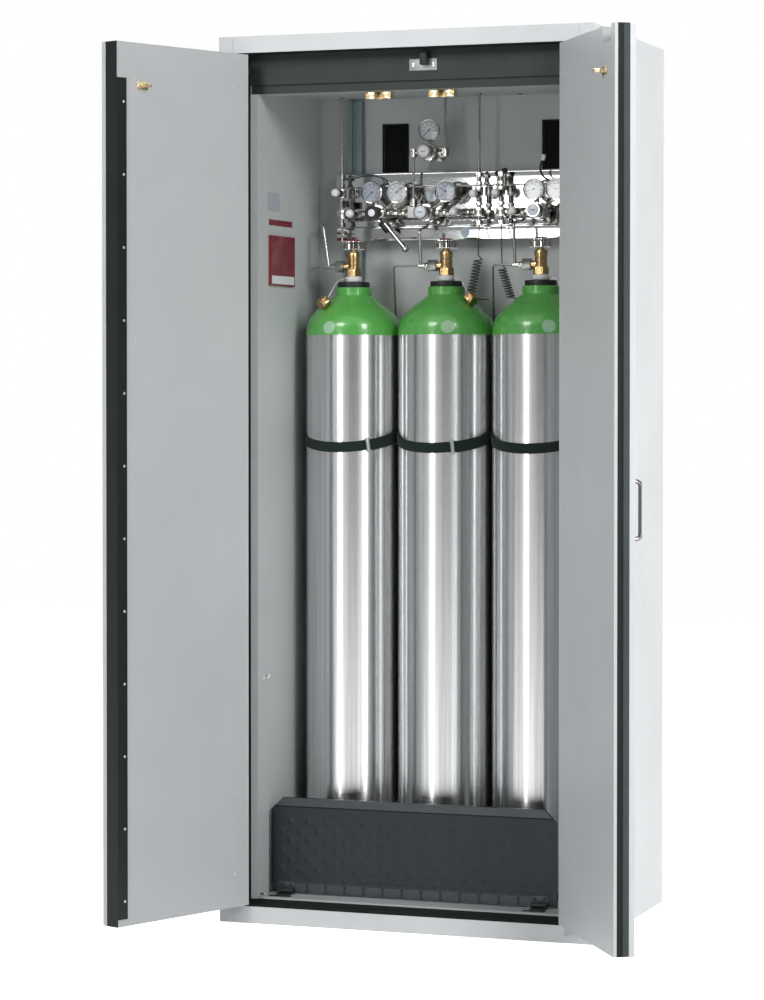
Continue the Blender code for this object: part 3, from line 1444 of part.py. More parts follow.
def right_extras(stack_x, regulator_x, gauges_x):
    """Two gauges and the two dark cap knobs on the stack."""
    block = STACK_BLOCK_WIDTH
    shapes = [piece for x in gauges_x for piece in gauge(x, GAUGE_ROW, GAUGE_RADIUS, regulator_x)]
    for offset, height in ((-block * 0.4, 0), (block * 0.4, block * 0.3)):
        x = stack_x + offset
        top = STACK_TOP - block / 2 + height
        shapes.append(rod((x, STATION_Y, GAUGE_ROW), (x, STATION_Y, top), STACK_NECK_RADIUS * 0.8))
        shapes.append(ball((x, STATION_Y, top), CAP_KNOB_RADIUS))
    return shapes


def outlet_tube(x):
    """Slanted chrome outlet tube with its black bulb."""
    y = STATION_Y - REGULATOR_LENGTH / 2
    start = Vector((x, y, KNOB_ROW))
    end = start + Vector((OUTLET_TUBE_RUN, -REGULATOR_RADIUS, -OUTLET_TUBE_DROP))
    toward = (end - start).normalized()
    bulb = start + toward * REGULATOR_RADIUS * 1.5 - Vector((BULB_RADIUS, 0, 0))
    return [
        rod(start, end, OUTLET_TUBE_RADIUS),
        rod(end - toward * BULB_RADIUS, end, BULB_RADIUS),
        rod(bulb, bulb + toward * BULB_LENGTH, BULB_RADIUS),
    ]


def line_regulator():
    """Upper line regulator with its own gauge, inlet tube and riser."""
    y = STATION_Y
    x = LINE_REGULATOR_X
    z = LINE_KNOB_ROW
    front = y - REGULATOR_LENGTH / 2
    shapes = [
        rod((x, y + REGULATOR_LENGTH / 4, z), (x, front, z), REGULATOR_RADIUS, ROUND_SEGMENTS),
        rod(
            (x, front + SHEET, z),
            (x, front - REGULATOR_BONNET_LENGTH, z),
            REGULATOR_BONNET_RADIUS,
            ROUND_SEGMENTS,
            REGULATOR_BONNET_RADIUS * 0.6,
        ),
        rod((x, y, z), (LINE_GAUGE_X, y, LINE_GAUGE_ROW), GAUGE_STEM_RADIUS),
        rod(
            (LINE_GAUGE_X, y - GAUGE_THICKNESS * 1.5, LINE_GAUGE_ROW),
            (LINE_GAUGE_X, y + GAUGE_STEM_RADIUS / 2, LINE_GAUGE_ROW),
            GAUGE_RADIUS,
            ROUND_SEGMENTS,
        ),
        rod((x, y, z), (LINE_OUTLET_X, y, z), STACK_NECK_RADIUS),
        rod((LINE_OUTLET_X, y, z - STACK_NECK_RADIUS), (LINE_OUTLET_X, y, CEILING_FACE - FIT_GAP), RISER_RADIUS, HEX_SEGMENTS + 2),
        rod((x, y, z), (LINE_INLET_X, y, z), STACK_NECK_RADIUS),
        rod((LINE_INLET_X, y, z + STACK_NECK_RADIUS), (LINE_INLET_X, y, KNOB_ROW + BAR_RADIUS * 2), RISER_RADIUS, HEX_SEGMENTS + 2),
        rod((x, y, z), (x, INNER_BACK - FIT_GAP, z), GAUGE_STEM_RADIUS),
    ]
    nut = STACK_NUT_RADIUS
    for place in ((LINE_INLET_X, z), (LINE_OUTLET_X, z)):
        shapes.append(rod((place[0], y, z - nut), (place[0], y, z + nut), nut, HEX_SEGMENTS))
    shapes.append(
        rod(
            (LINE_INLET_X, y, KNOB_ROW + BAR_RADIUS * 2),
            (LINE_INLET_X, y, KNOB_ROW + BAR_RADIUS * 4),
            nut,
            HEX_SEGMENTS,
        )
    )
    finish(fuse(shapes), "line_regulator", LOOKS["chrome"], smooth=True)


def regulator_knobs():
    """Round adjusting knobs of the four regulators."""
    bonnet_end = STATION_Y - REGULATOR_LENGTH / 2 - REGULATOR_BONNET_LENGTH - FIT_GAP
    places = (
        (LEFT_REGULATOR_X, KNOB_ROW),
        (MIDDLE_REGULATOR_X, KNOB_ROW),
        (RIGHT_REGULATOR_X, KNOB_ROW),
        (LINE_REGULATOR_X, LINE_KNOB_ROW),
    )
    for number, (x, z) in enumerate(places):
        knob = rod(
            (x, bonnet_end, z),
            (x, bonnet_end - REGULATOR_KNOB_LENGTH, z),
            REGULATOR_KNOB_RADIUS,
            ROUND_SEGMENTS,
        )
        recentre(knob, (x, bonnet_end, z))
        finish(knob, f"regulator_knob_{number + 1}", LOOKS["white"], smooth=True)


def valve_knobs():
    """Small round knobs of the six shut-off valves."""
    back = housing_front() - FIT_GAP
    for number, (x, z) in enumerate(valve_places()):
        stem = rod((x, back, z), (x, back - VALVE_KNOB_STEM, z), VALVE_KNOB_RADIUS * 0.5)
        grip = rod(
            (x, back - VALVE_KNOB_STEM + SHEET, z),
            (x, back - VALVE_KNOB_STEM - VALVE_KNOB_LENGTH, z),
            VALVE_KNOB_RADIUS,
            SMALL_SEGMENTS,
        )
        knob = fuse([stem, grip])
        recentre(knob, (x, back, z))
        finish(knob, f"valve_knob_{number + 1}", LOOKS["white"], smooth=True)


def bend(before, corner, after, radius):
    """Points of a rounded corner between two straight runs."""
    before, corner, after = Vector(before), Vector(corner), Vector(after)
    a = corner + (before - corner).normalized() * radius
    b = corner + (after - corner).normalized() * radius
    made = []
    for step in range(ARC_STEPS):
        t = step / (ARC_STEPS - 1)
        made.append(a * (1 - t) ** 2 + corner * 2 * t * (1 - t) + b * t * t)
    return made


def smooth_route(points, radius):
    """A route with its inner corners rounded."""
    route = [Vector(points[0])]
    for before, corner, after in zip(points, points[1:], points[2:]):
        route += bend(before, corner, after, radius)
    return route + [Vector(points[-1])]


def pigtails():
    """Feed tubes from each cylinder outlet, with the hex nut, elbow and thin restraint line."""
    for index in range(CYLINDER_COUNT):
        x = cylinder_x(index)
        y = CYLINDER_Y
        z = OUTLET_Z
        nut = x - OUTLET_REACH - FIT_GAP
        ferrule = nut - PIGTAIL_NUT_LENGTH
        elbow = ferrule - PIGTAIL_FERRULE_LENGTH
        turn = elbow - PIGTAIL_ELBOW_LENGTH / 2
        shapes = [
            rod((nut, y, z), (ferrule, y, z), PIGTAIL_NUT_RADIUS, HEX_SEGMENTS),
            rod((ferrule + SHEET, y, z), (elbow, y, z), PIGTAIL_FERRULE_RADIUS),
            rod((elbow + SHEET, y, z), (elbow - PIGTAIL_ELBOW_LENGTH, y, z), PIGTAIL_ELBOW_RADIUS),
            tube(smooth_route(feed_route(index, turn), PIGTAIL_RADIUS * 3), PIGTAIL_RADIUS),
        ]
        reach = RESTRAINT_REACHES[index]
        bend_radius = PIGTAIL_RADIUS * 2
        shift, fall = RESTRAINT_RUN
        corner = Vector((x - reach, y, z))
        end = Vector((corner.x + shift, INNER_BACK - PIGTAIL_RADIUS, z - fall))
        if index == 0:
            end = corner + Vector(RESTRAINT_1_RUN)
        line = [(elbow - PIGTAIL_ELBOW_LENGTH + SHEET, y, z), corner, end]
        shapes.append(tube(smooth_route(line, bend_radius), RESTRAINT_RADII[index], 1))
        finish(fuse(shapes), f"pigtail_{index + 1}", LOOKS["stainless"], smooth=True)


def feed_route(index, turn):
    """Corner points of a feed tube, from its elbow to where it ends."""
    y = CYLINDER_Y
    start = (turn, y, OUTLET_Z)
    if index == 0:
        stack_foot = Vector((LEFT_STACK_X, STATION_Y, KNOB_ROW))
        return [start, stack_foot + Vector(PIGTAIL_1_TOP), stack_foot + Vector(PIGTAIL_1_END)]
    feed = (0, MIDDLE_REGULATOR_X, PIGTAIL_3_FEED_X)[index]
    body = (0, REGULATOR_RADIUS, BAR_RADIUS)[index]
    top = KNOB_ROW - body - FIT_GAP
    return [
        start,
        (turn - PIGTAIL_LEAN, y, top - REGULATOR_RADIUS),
        (feed, STATION_Y, top - PIGTAIL_RADIUS * 3),
        (feed, STATION_Y, top),
    ]


def coil_hoses():
    """Wound signal hoses below the middle and right stacks, each one unbroken tube."""
    plans = (
        ("coil_hose_left", MIDDLE_STACK_X, COIL_LEFT),
        ("coil_hose_right", RIGHT_STACK_X, COIL_RIGHT),
    )
    for name, feed, (shift, drop, length, slant) in plans:
        x = feed + shift
        top = STACK_BOTTOM - drop
        start = STACK_BOTTOM - STACK_BLOCK_WIDTH * 0.2 - FIT_GAP
        count = COIL_TURNS * COIL_POINTS
        points = [Vector((feed, STATION_Y, start)), Vector((feed, STATION_Y, start - COIL_RADIUS))]
        points.append(Vector((x, COIL_Y, top + COIL_RADIUS)))
        for step in range(count + 1):
            share = step / count
            angle = 2 * pi * step / COIL_POINTS
            ring = Vector((cos(angle), sin(angle), 0)) * COIL_RADIUS
            points.append(Vector((x + slant * share, COIL_Y, top - length * share)) + ring)
        end = x + slant + COIL_RADIUS
        low = top - length - COIL_RADIUS
        points.append(Vector((end, COIL_Y + COIL_RADIUS, low)))
        points.append(Vector((end, INNER_BACK - FIT_GAP, low)))
        print(name, "least gap to itself, m:", least_gap(points))
        finish(tube(points, COIL_WIRE_RADIUS, 1), name, LOOKS["header"], smooth=True)


def least_gap(points):
    """Smallest free distance between points more than half a turn apart along the tube."""
    skip = COIL_POINTS // 2 + 1
    nearest = min(
        (a - b).length
        for number, a in enumerate(points)
        for b in points[number + skip :]
    )
    return nearest - 2 * COIL_WIRE_RADIUS


side_panels()
rear_panel()
top_panel()
base_plinth()
wall_boards()
rear_board()
ceiling_board()
header_cover()
frame_seal()
floor_tray()
vents()
left_door()
right_door()
ramp()
latch_bracket()
ball_catches()
document_holder()
gas_cylinders()
cylinder_valves()
handwheels()
strap_rail()
straps()
mounting_rail()
gas_panel()
gas_stations()
line_regulator()
regulator_knobs()
valve_knobs()
pigtails()
coil_hoses()
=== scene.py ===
from math import cos, pi, radians, sin, tau

import bmesh
import bpy
from mathutils import Matrix, Vector


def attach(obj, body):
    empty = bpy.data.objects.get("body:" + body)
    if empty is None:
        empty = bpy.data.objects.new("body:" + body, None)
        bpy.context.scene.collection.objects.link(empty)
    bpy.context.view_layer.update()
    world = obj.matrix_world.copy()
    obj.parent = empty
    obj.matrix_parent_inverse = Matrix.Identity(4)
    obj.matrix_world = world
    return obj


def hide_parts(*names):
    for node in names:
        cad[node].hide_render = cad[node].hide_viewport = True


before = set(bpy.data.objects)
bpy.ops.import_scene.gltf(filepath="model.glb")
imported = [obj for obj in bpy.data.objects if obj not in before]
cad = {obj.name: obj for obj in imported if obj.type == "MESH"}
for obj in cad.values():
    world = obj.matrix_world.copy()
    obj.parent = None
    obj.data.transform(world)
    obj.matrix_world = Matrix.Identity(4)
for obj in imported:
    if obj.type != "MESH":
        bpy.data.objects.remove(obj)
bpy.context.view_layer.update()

# ---- Camera, floor and light
# The cabinet stands on a plain white studio floor, seen from the front right. Soft boxes with low
# strips light it from the front right and the front left, one more lights its right side and one
# its back. A grey curtain and a darker screen behind the camera give the metal bands to show.

camera_data = bpy.data.cameras.new("camera")
camera_data.sensor_fit = "VERTICAL"
camera_data.sensor_height = 36.0
camera_data.lens = 113.1446
camera_data.shift_x = 0.015936
camera_data.shift_y = -0.055677
camera = bpy.data.objects.new("camera", camera_data)
camera.location = (2.3511, -7.0389, 1.2612)
camera.rotation_euler = (radians(88.803), 0, radians(19.915))
scene = bpy.context.scene
scene.collection.objects.link(camera)
scene.camera = camera
scene.view_settings.view_transform = "Standard"


def node(tree, kind, sockets=None, **settings):
    """Adds a shader node and fills its sockets with values or with other nodes' outputs."""
    made = tree.nodes.new("ShaderNode" + kind)
    for name, value in settings.items():
        setattr(made, name, value)
    for name, value in (sockets or {}).items():
        if isinstance(value, bpy.types.NodeSocket):
            tree.links.new(value, made.inputs[name])
        else:
            made.inputs[name].default_value = value
    return made


def maths(tree, operation, *values, **settings):
    """Result of one sum on numbers or sockets."""
    return node(tree, "Math", dict(enumerate(values)), operation=operation, **settings).outputs[0]


def ranged(tree, value, low, high, least, most):
    """Value carried from low..high to least..most."""
    span = {"Value": value, "From Min": low, "From Max": high, "To Min": least, "To Max": most}
    return node(tree, "MapRange", span).outputs[0]


def seen_ray(tree):
    """1 for the rays that see the background: those of the camera, of gloss and of glass."""
    rays = node(tree, "LightPath").outputs
    either = maths(tree, "MAXIMUM", rays["Is Camera Ray"], rays["Is Glossy Ray"])
    return maths(tree, "MAXIMUM", either, rays["Is Transmission Ray"])


def lit_world(strength):
    """White where it is seen, and a plain even light on everything else."""
    world = bpy.data.worlds.new("studio")
    world.use_nodes = True
    tree = world.node_tree
    tree.nodes.clear()
    shown = node(tree, "Background", {"Color": (1, 1, 1, 1), "Strength": 1.0})
    lighting = node(tree, "Background", {"Color": (0.97, 0.985, 1, 1), "Strength": strength})
    mixed = node(tree, "MixShader", {0: seen_ray(tree), 1: lighting.outputs[0], 2: shown.outputs[0]})
    node(tree, "OutputWorld", {"Surface": mixed.outputs[0]})
    scene.world = world


def studio_floor(half):
    """The floor is white paper: it is lifted to white for the camera and keeps the shadow."""
    mesh = bpy.data.meshes.new("studio_floor")
    mesh.from_pydata(
        [(-half, -half, 0), (half, -half, 0), (half, half, 0), (-half, half, 0)], [], [(0, 1, 2, 3)]
    )
    paper = bpy.data.materials.new("white_paper")
    paper.use_nodes = True
    tree = paper.node_tree
    tree.nodes.clear()
    grain = node(tree, "TexNoise", {"Scale": 60.0, "Detail": 3.0})
    tone = node(
        tree,
        "Mix",
        {0: grain.outputs["Fac"], 6: (0.78, 0.785, 0.79, 1), 7: (0.82, 0.82, 0.82, 1)},
        data_type="RGBA",
    )
    matt = node(tree, "BsdfDiffuse", {"Color": tone.outputs[2]})
    lift = node(tree, "Emission", {"Color": (1, 1, 1, 1), "Strength": 0.92})
    both = node(tree, "AddShader", {0: matt.outputs[0], 1: lift.outputs[0]})
    shown = node(tree, "MixShader", {0: seen_ray(tree), 1: matt.outputs[0], 2: both.outputs[0]})
    node(tree, "OutputMaterial", {"Surface": shown.outputs[0]})
    mesh.materials.append(paper)
    floor_object = bpy.data.objects.new("studio_floor", mesh)
    floor_object.location.z = -0.0005
    scene.collection.objects.link(floor_object)


def soft_box(name, place, target, size, power):
    """A rectangular area lamp that looks at its target."""
    lamp = bpy.data.lights.new(name, "AREA")
    lamp.shape = "RECTANGLE"
    lamp.size, lamp.size_y = size
    lamp.energy = power
    holder = bpy.data.objects.new(name, lamp)
    holder.location = place
    holder.rotation_euler = (Vector(target) - Vector(place)).to_track_quat("-Z", "Y").to_euler()
    scene.collection.objects.link(holder)


def grey_curtain(name, reach, height, low_turn, high_turn, tone):
    """A studio curtain or screen behind the camera: only gloss and metal show it."""
    steps = 24
    points, faces = [], []
    for step in range(steps + 1):
        turn = radians(low_turn + (high_turn - low_turn) * step / steps)
        points += [(reach * cos(turn), reach * sin(turn), 0.02), (reach * cos(turn), reach * sin(turn), height)]
    for step in range(steps):
        a = step * 2
        faces.append((a, a + 2, a + 3, a + 1))
    mesh = bpy.data.meshes.new(name)
    mesh.from_pydata(points, [], faces)
    cloth = bpy.data.materials.new(name + "_cloth")
    cloth.use_nodes = True
    tree = cloth.node_tree
    tree.nodes.clear()
    folds = node(tree, "TexWave", {"Scale": 1.3, "Distortion": 1.5, "Detail": 2.0}, bands_direction="X")
    shade = ranged(tree, folds.outputs["Fac"], 0.0, 1.0, tone * 0.75, tone * 1.2)
    glow = node(tree, "Emission", {"Color": (0.97, 0.99, 1, 1), "Strength": shade})
    node(tree, "OutputMaterial", {"Surface": glow.outputs[0]})
    mesh.materials.append(cloth)
    curtain = bpy.data.objects.new(name, mesh)
    curtain.visible_camera = curtain.visible_diffuse = curtain.visible_shadow = False
    scene.collection.objects.link(curtain)


lit_world(0.12)
studio_floor(9.0)
grey_curtain("grey_curtain", 9.5, 5.5, -165, -10, 0.30)
grey_curtain("camera_screen", 8.8, 6.5, -83, -60, 0.05)
soft_box("key_box", (3.9, -3.7, 3.8), (0, 0, 0.9), (1.4, 2.0), 156)
soft_box("key_strip", (3.9, -3.7, 1.1), (0, 0, 1.0), (0.8, 2.2), 30)
soft_box("fill_box", (-1.5, -4.8, 4.0), (0, 0, 0.9), (1.6, 2.0), 118)
soft_box("fill_strip", (-1.35, -5.1, 1.1), (0, 0, 1.0), (0.55, 2.2), 24)
soft_box("side_box", (5.0, 0.9, 0.9), (0.6, 0, 1.0), (1.6, 2.6), 142)
soft_box("back_box", (-3.2, 4.6, 2.6), (0, 0.3, 1.1), (1.8, 2.4), 150)

# ---- Outer cabinet
# The outer shell is folded steel sheet with a light grey powder coat: two sides, a back, a roof
# with its fascia, and a base with its plinth. It is screwed round the fire boards. Two rolled
# collars on the roof take the exhaust ducts, and a small plug closes a hole in the plinth.


def effect(name, takes, gives):
    """A new node group with these inputs (name and first value) and outputs (name and kind)."""
    group = bpy.data.node_groups.new(name, "ShaderNodeTree")
    for label, value in takes.items():
        kind = "NodeSocketColor" if isinstance(value, tuple) else "NodeSocketFloat"
        group.interface.new_socket(label, in_out="INPUT", socket_type=kind).default_value = value
    for label, kind in gives.items():
        group.interface.new_socket(label, in_out="OUTPUT", socket_type="NodeSocket" + kind)
    return group, group.nodes.new("NodeGroupInput").outputs, group.nodes.new("NodeGroupOutput").inputs


def feed(tree, sockets, sources):
    """Joins each named socket to its source."""
    for name, source in sources.items():
        tree.links.new(source, sockets[name])


def noise(tree, place, scale, detail, roughness=0.5):
    """Cloudy noise at this scale."""
    sockets = {"Vector": place, "Scale": scale, "Detail": detail, "Roughness": roughness}
    return node(tree, "TexNoise", sockets).outputs["Fac"]


def drawn_out(tree, place, amounts):
    """A place multiplied along each axis, so that what is read there is drawn out."""
    return node(tree, "VectorMath", {0: place, 1: amounts}, operation="MULTIPLY").outputs[0]


def dimmed(tree, colour, share):
    """A colour times a share."""
    return node(tree, "VectorMath", {0: colour, "Scale": share}, operation="SCALE").outputs[0]


def coat_effect():
    """Orange peel, a slow drift of tone and faint handling marks of a painted or coated sheet."""
    group, takes, gives = effect(
        "coat",
        {"Colour": (0.5, 0.5, 0.5, 1), "Gloss loss": 0.4, "Drift": 0.06, "Peel scale": 900.0},
        {"Colour": "Color", "Roughness": "Float", "Height": "Float"},
    )
    place = node(group, "TexCoord").outputs["Object"]
    peel = noise(group, place, takes["Peel scale"], 2.0)
    cloud = noise(group, place, 2.2, 4.0, 0.6)
    scuff = noise(group, drawn_out(group, place, (60.0, 60.0, 6.0)), 1.0, 6.0, 0.7)
    least = maths(group, "SUBTRACT", 1.0, takes["Drift"])
    most = maths(group, "ADD", 1.0, takes["Drift"])
    speck = ranged(group, peel, 0.2, 0.8, 0.985, 1.015)
    tone = maths(group, "MULTIPLY", ranged(group, cloud, 0.3, 0.7, least, most), speck)
    worn = ranged(group, scuff, 0.35, 0.75, -0.05, 0.09)
    rough = maths(group, "ADD", takes["Gloss loss"], worn)
    feed(group, gives, {"Colour": dimmed(group, takes["Colour"], tone), "Roughness": rough, "Height": peel})
    return group


def edge_effect():
    """1 along outer edges, within the reach, broken up by a fine noise."""
    group, takes, gives = effect("edge_wear", {"Reach": 0.002}, {"Mask": "Float"})
    softened = node(group, "Bevel", {"Radius": takes["Reach"]}, samples=3).outputs[0]
    normal = node(group, "NewGeometry").outputs["Normal"]
    turn = node(group, "VectorMath", {0: softened, 1: normal}, operation="DOT_PRODUCT").outputs["Value"]
    place = node(group, "TexCoord").outputs["Object"]
    edge = ranged(group, turn, 0.985, 0.80, 0.0, 1.0)
    patch = ranged(group, noise(group, place, 130.0, 5.0, 0.7), 0.42, 0.66, 0.15, 1.0)
    feed(group, gives, {"Mask": maths(group, "MULTIPLY", edge, patch, use_clamp=True)})
    return group


coat_group = coat_effect()
edge_group = edge_effect()


def new_finish(name, sockets=None):
    """A material with its Principled shader, and its tree."""
    made = bpy.data.materials.new(name)
    made.use_nodes = True
    tree = made.node_tree
    tree.nodes.clear()
    shader = node(tree, "BsdfPrincipled", sockets)
    node(tree, "OutputMaterial", {"Surface": shader.outputs[0]})
    made.diffuse_color = (*shader.inputs["Base Color"].default_value[:3], 1)
    return made, tree, shader.inputs


def spaced(sockets):
    """Socket names as the shader writes them, from names with underscores."""
    return {name.replace("_", " "): value for name, value in sockets.items()}


def coated(name, colour, worn_colour, roughness, drift=0.05, peel=900.0, depth=0.00012, wear=0.6, **sockets):
    """A painted or laminated sheet: coat effect, paler edges and a fine bump."""
    made, tree, shader = new_finish(name, spaced(sockets))
    values = {"Colour": (*colour, 1), "Gloss loss": roughness, "Drift": drift, "Peel scale": peel}
    coat = node(tree, "Group", values, node_tree=coat_group).outputs
    edges = node(tree, "Group", {"Reach": 0.0016}, node_tree=edge_group).outputs
    share = maths(tree, "MULTIPLY", edges["Mask"], wear)
    shown = node(tree, "Mix", {0: share, 6: coat["Colour"], 7: (*worn_colour, 1)}, data_type="RGBA").outputs[2]
    bump = node(tree, "Bump", {"Height": coat["Height"], "Strength": 0.35, "Distance": depth}).outputs[0]
    feed(tree, shader, {"Base Color": shown, "Roughness": coat["Roughness"], "Normal": bump})
    return made


def dress(material, *names):
    """Gives CAD nodes that keep their shape this finish."""
    for name in names:
        for number in range(len(cad[name].data.materials)):
            cad[name].data.materials[number] = material


powder_coat = coated("powder_coat", (0.585, 0.605, 0.612), (0.72, 0.73, 0.73), 0.42)
dress(powder_coat, "side_panel_left", "side_panel_right", "rear_panel", "top_panel", "base_plinth")


forward, upward, downward = (0, -1, 0), (0, 0, 1), (0, 0, -1)


def skin(total, count, ends=True):
    """Faces over points that lie in closed rings of count each, with both ends filled."""
    faces = []
    for ring in range(total // count - 1):
        for step in range(count):
            a = ring * count + step
            b = ring * count + (step + 1) % count
            faces.append((a, b, b + count, a + count))
    if ends:
        faces += [tuple(range(count)), tuple(range(total - count, total))]
    return faces


def turned(profile, start, along=upward, segments=48, flats=None):
    """A turned form: its profile is radius and distance from start, its flats are sides and half width."""
    turn = Vector(along).normalized().to_track_quat("Z", "Y")
    start = Vector(start)
    points = []
    for radius, distance in profile:
        for step in range(segments):
            angle = tau * step / segments
            reach = radius
            if flats:
                sides, half_width = flats
                reach = min(radius, half_width / cos(angle % (tau / sides) - pi / sides))
            points.append(start + turn @ Vector((reach * cos(angle), reach * sin(angle), distance)))
    return points, skin(len(points), segments, profile[0] != profile[-1])


def piece(name, body, forms, stands_for=(), at=(0, 0, 0)):
    """One mesh of several forms, each given with its finish, that rides on a body."""
    mesh = bpy.data.meshes.new(name)
    bm = bmesh.new()
    finishes = []
    for (points, faces), finish in forms:
        if finish not in finishes:
            finishes.append(finish)
        corners = [bm.verts.new(point) for point in points]
        for face in faces:
            bm.faces.new([corners[number] for number in face]).material_index = finishes.index(finish)
    bmesh.ops.remove_doubles(bm, verts=bm.verts, dist=0.0000005)
    bmesh.ops.recalc_face_normals(bm, faces=bm.faces)
    bm.to_mesh(mesh)
    bm.free()
    for finish in finishes:
        mesh.materials.append(finish)
    mesh.shade_smooth()
    mesh.set_sharp_from_angle(angle=radians(34))
    made = bpy.data.objects.new(name, mesh)
    made.location = at
    scene.collection.objects.link(made)
    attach(made, body)
    if stands_for:
        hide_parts(*stands_for)
    return made


roof, shaft_y = 2.050, 0.22875
vent_places = ((-0.1765, "left"), (0.2267, "right"))
collar = [
    (0.0366, -0.010), (0.0366, 0.0005), (0.0372, 0.0018), (0.0385, 0.0024), (0.0402, 0.0018),
    (0.0408, 0.0004), (0.0408, -0.0004), (0.0375, -0.0004), (0.0375, -0.010), (0.0366, -0.010),
]
for centre, word in vent_places:
    piece(
        f"roof_collar_{word}",
        "cabinet",
        [(turned(collar, (centre, shaft_y, roof)), powder_coat)],
    )
plug = [(0, 0), (0.0046, 0), (0.0052, 0.0004), (0.0052, 0.0012), (0.0044, 0.0018), (0, 0.0021)]
grey_plastic = coated("grey_plastic", (0.48, 0.50, 0.50), (0.52, 0.54, 0.54), 0.5, wear=0.2)
plinth_plug = turned(plug, (0.3854, -0.3078, 0.0206), forward, 24)
piece("plinth_plug", "cabinet", [(plinth_plug, grey_plastic)])

# ---- Inner boards
# The walls, ceiling and rear wall inside are fire boards faced with grey laminate, butted against
# each other and screwed to the shell. The floor is a coated steel tray with two ramp lugs.

laminate = coated(
    "grey_laminate",
    (0.50, 0.52, 0.525),
    (0.60, 0.60, 0.58),
    0.48,
    drift=0.045,
    peel=1400.0,
    depth=0.00006,
    wear=0.45,
)
floor_coat = coated("floor_coat", (0.40, 0.425, 0.43), (0.55, 0.55, 0.54), 0.40, drift=0.09, wear=0.8)
dress(laminate, "wall_board_left", "wall_board_right", "rear_board", "ceiling_board")
dress(floor_coat, "floor_tray")

# ---- Header plate and door seal
# A dark coated plate closes the gap over the ceiling board. A strip that swells in a fire runs
# round the opening, in a groove of the frame.

header_coat = coated(
    "header_coat",
    (0.024, 0.032, 0.029),
    (0.12, 0.13, 0.13),
    0.48,
    drift=0.10,
    wear=0.35,
    Specular_IOR_Level=0.25,
)
seal_strip = coated(
    "swelling_seal",
    (0.011, 0.015, 0.013),
    (0.03, 0.035, 0.03),
    0.75,
    drift=0.15,
    peel=500.0,
    depth=0.0003,
    wear=0.3,
    Specular_IOR_Level=0.2,
)
dress(header_coat, "header_cover")
dress(seal_strip, "frame_seal")


def block(low, high, bevel=0.0005, steps=2):
    """A box with rounded edges."""
    low, high = Vector(low), Vector(high)
    bm = bmesh.new()
    bmesh.ops.create_cube(bm, size=1.0)
    size = high - low
    for vertex in bm.verts:
        vertex.co = (low + high) / 2 + Vector(
            (vertex.co.x * size.x, vertex.co.y * size.y, vertex.co.z * size.z)
        )
    bmesh.ops.bevel(
        bm, geom=bm.edges[:], offset=min(bevel, min(size) * 0.45), segments=steps, profile=0.5, affect="EDGES"
    )
    bm.verts.index_update()
    points = [vertex.co.copy() for vertex in bm.verts]
    faces = [tuple(corner.index for corner in face.verts) for face in bm.faces]
    bm.free()
    return points, faces


dark_plastic = coated(
    "dark_plastic",
    (0.016, 0.020, 0.019),
    (0.05, 0.055, 0.05),
    0.5,
    drift=0.1,
    wear=0.3,
    Specular_IOR_Level=0.3,
)
stop = block((-0.4136, -0.2616, 1.966), (-0.3530, -0.2574, 1.991), 0.0010)
piece("header_stop", "cabinet", [(stop, dark_plastic)])
plug = [(0, 0), (0.0060, 0), (0.0066, 0.0008), (0.0066, 0.0016), (0, 0.0020)]
ceiling_plug = turned(plug, (0.1480, 0.1180, 1.9380), downward, 24)
piece("ceiling_plug", "cabinet", [(ceiling_plug, dark_plastic)])

# ---- Doors
# Each leaf is a coated steel pan over a fire board, with a flat inner sheet. The left one carries
# a dark aluminium meeting profile held by twelve screws, the right one an edge seal in a groove.
# They turn on pins in the plinth and the fascia.

door_coat = coated("door_coat", (0.565, 0.585, 0.592), (0.72, 0.73, 0.73), 0.40, drift=0.04)
door_face = coated("door_inner_coat", (0.515, 0.535, 0.545), (0.66, 0.67, 0.67), 0.44, drift=0.04)
dress(door_coat, "left_door_shell", "right_door_shell")
dress(door_face, "left_door_board", "right_door_board")
profile_black = coated(
    "profile_black",
    (0.009, 0.013, 0.011),
    (0.055, 0.062, 0.060),
    0.45,
    drift=0.12,
    wear=0.35,
    Specular_IOR_Level=0.25,
)
edge_seal = coated(
    "edge_seal",
    (0.045, 0.056, 0.058),
    (0.08, 0.09, 0.09),
    0.6,
    drift=0.2,
    peel=420.0,
    depth=0.0004,
    wear=0.3,
    Specular_IOR_Level=0.25,
)
dress(profile_black, "left_door_meeting_profile")


grain_axes = ("Grain X", "Grain Y", "Grain Z")


def brush_effect():
    """Grain of a bare metal: lines or specks, and dull patches where hands and cloths have been."""
    group, takes, gives = effect(
        "metal_grain",
        {
            "Colour": (0.6, 0.6, 0.6, 1), "Dull colour": (0.5, 0.5, 0.5, 1), "Gloss loss": 0.2, "Swing": 0.1,
            "Patches": 0.4, "Grain X": 700.0, "Grain Y": 700.0, "Grain Z": 700.0,
        },
        {"Colour": "Color", "Roughness": "Float", "Height": "Float"},
    )
    place = node(group, "TexCoord").outputs["Object"]
    scale = node(group, "CombineXYZ", dict(zip("XYZ", [takes[axis] for axis in grain_axes]))).outputs[0]
    lines = noise(group, drawn_out(group, place, scale), 1.0, 3.0, 0.6)
    dull = ranged(group, noise(group, place, 34.0, 5.0, 0.65), 0.45, 0.72, 0.0, takes["Patches"])
    blend = {0: dull, 6: takes["Colour"], 7: takes["Dull colour"]}
    tone = node(group, "Mix", blend, data_type="RGBA").outputs[2]
    colour = dimmed(group, tone, ranged(group, lines, 0.25, 0.75, 0.94, 1.05))
    spread = maths(group, "MULTIPLY", maths(group, "SUBTRACT", lines, 0.5), takes["Swing"])
    more = maths(group, "MULTIPLY_ADD", dull, 0.09, spread)
    rough = maths(group, "ADD", takes["Gloss loss"], more)
    feed(group, gives, {"Colour": colour, "Roughness": rough, "Height": lines})
    return group


brush_group = brush_effect()


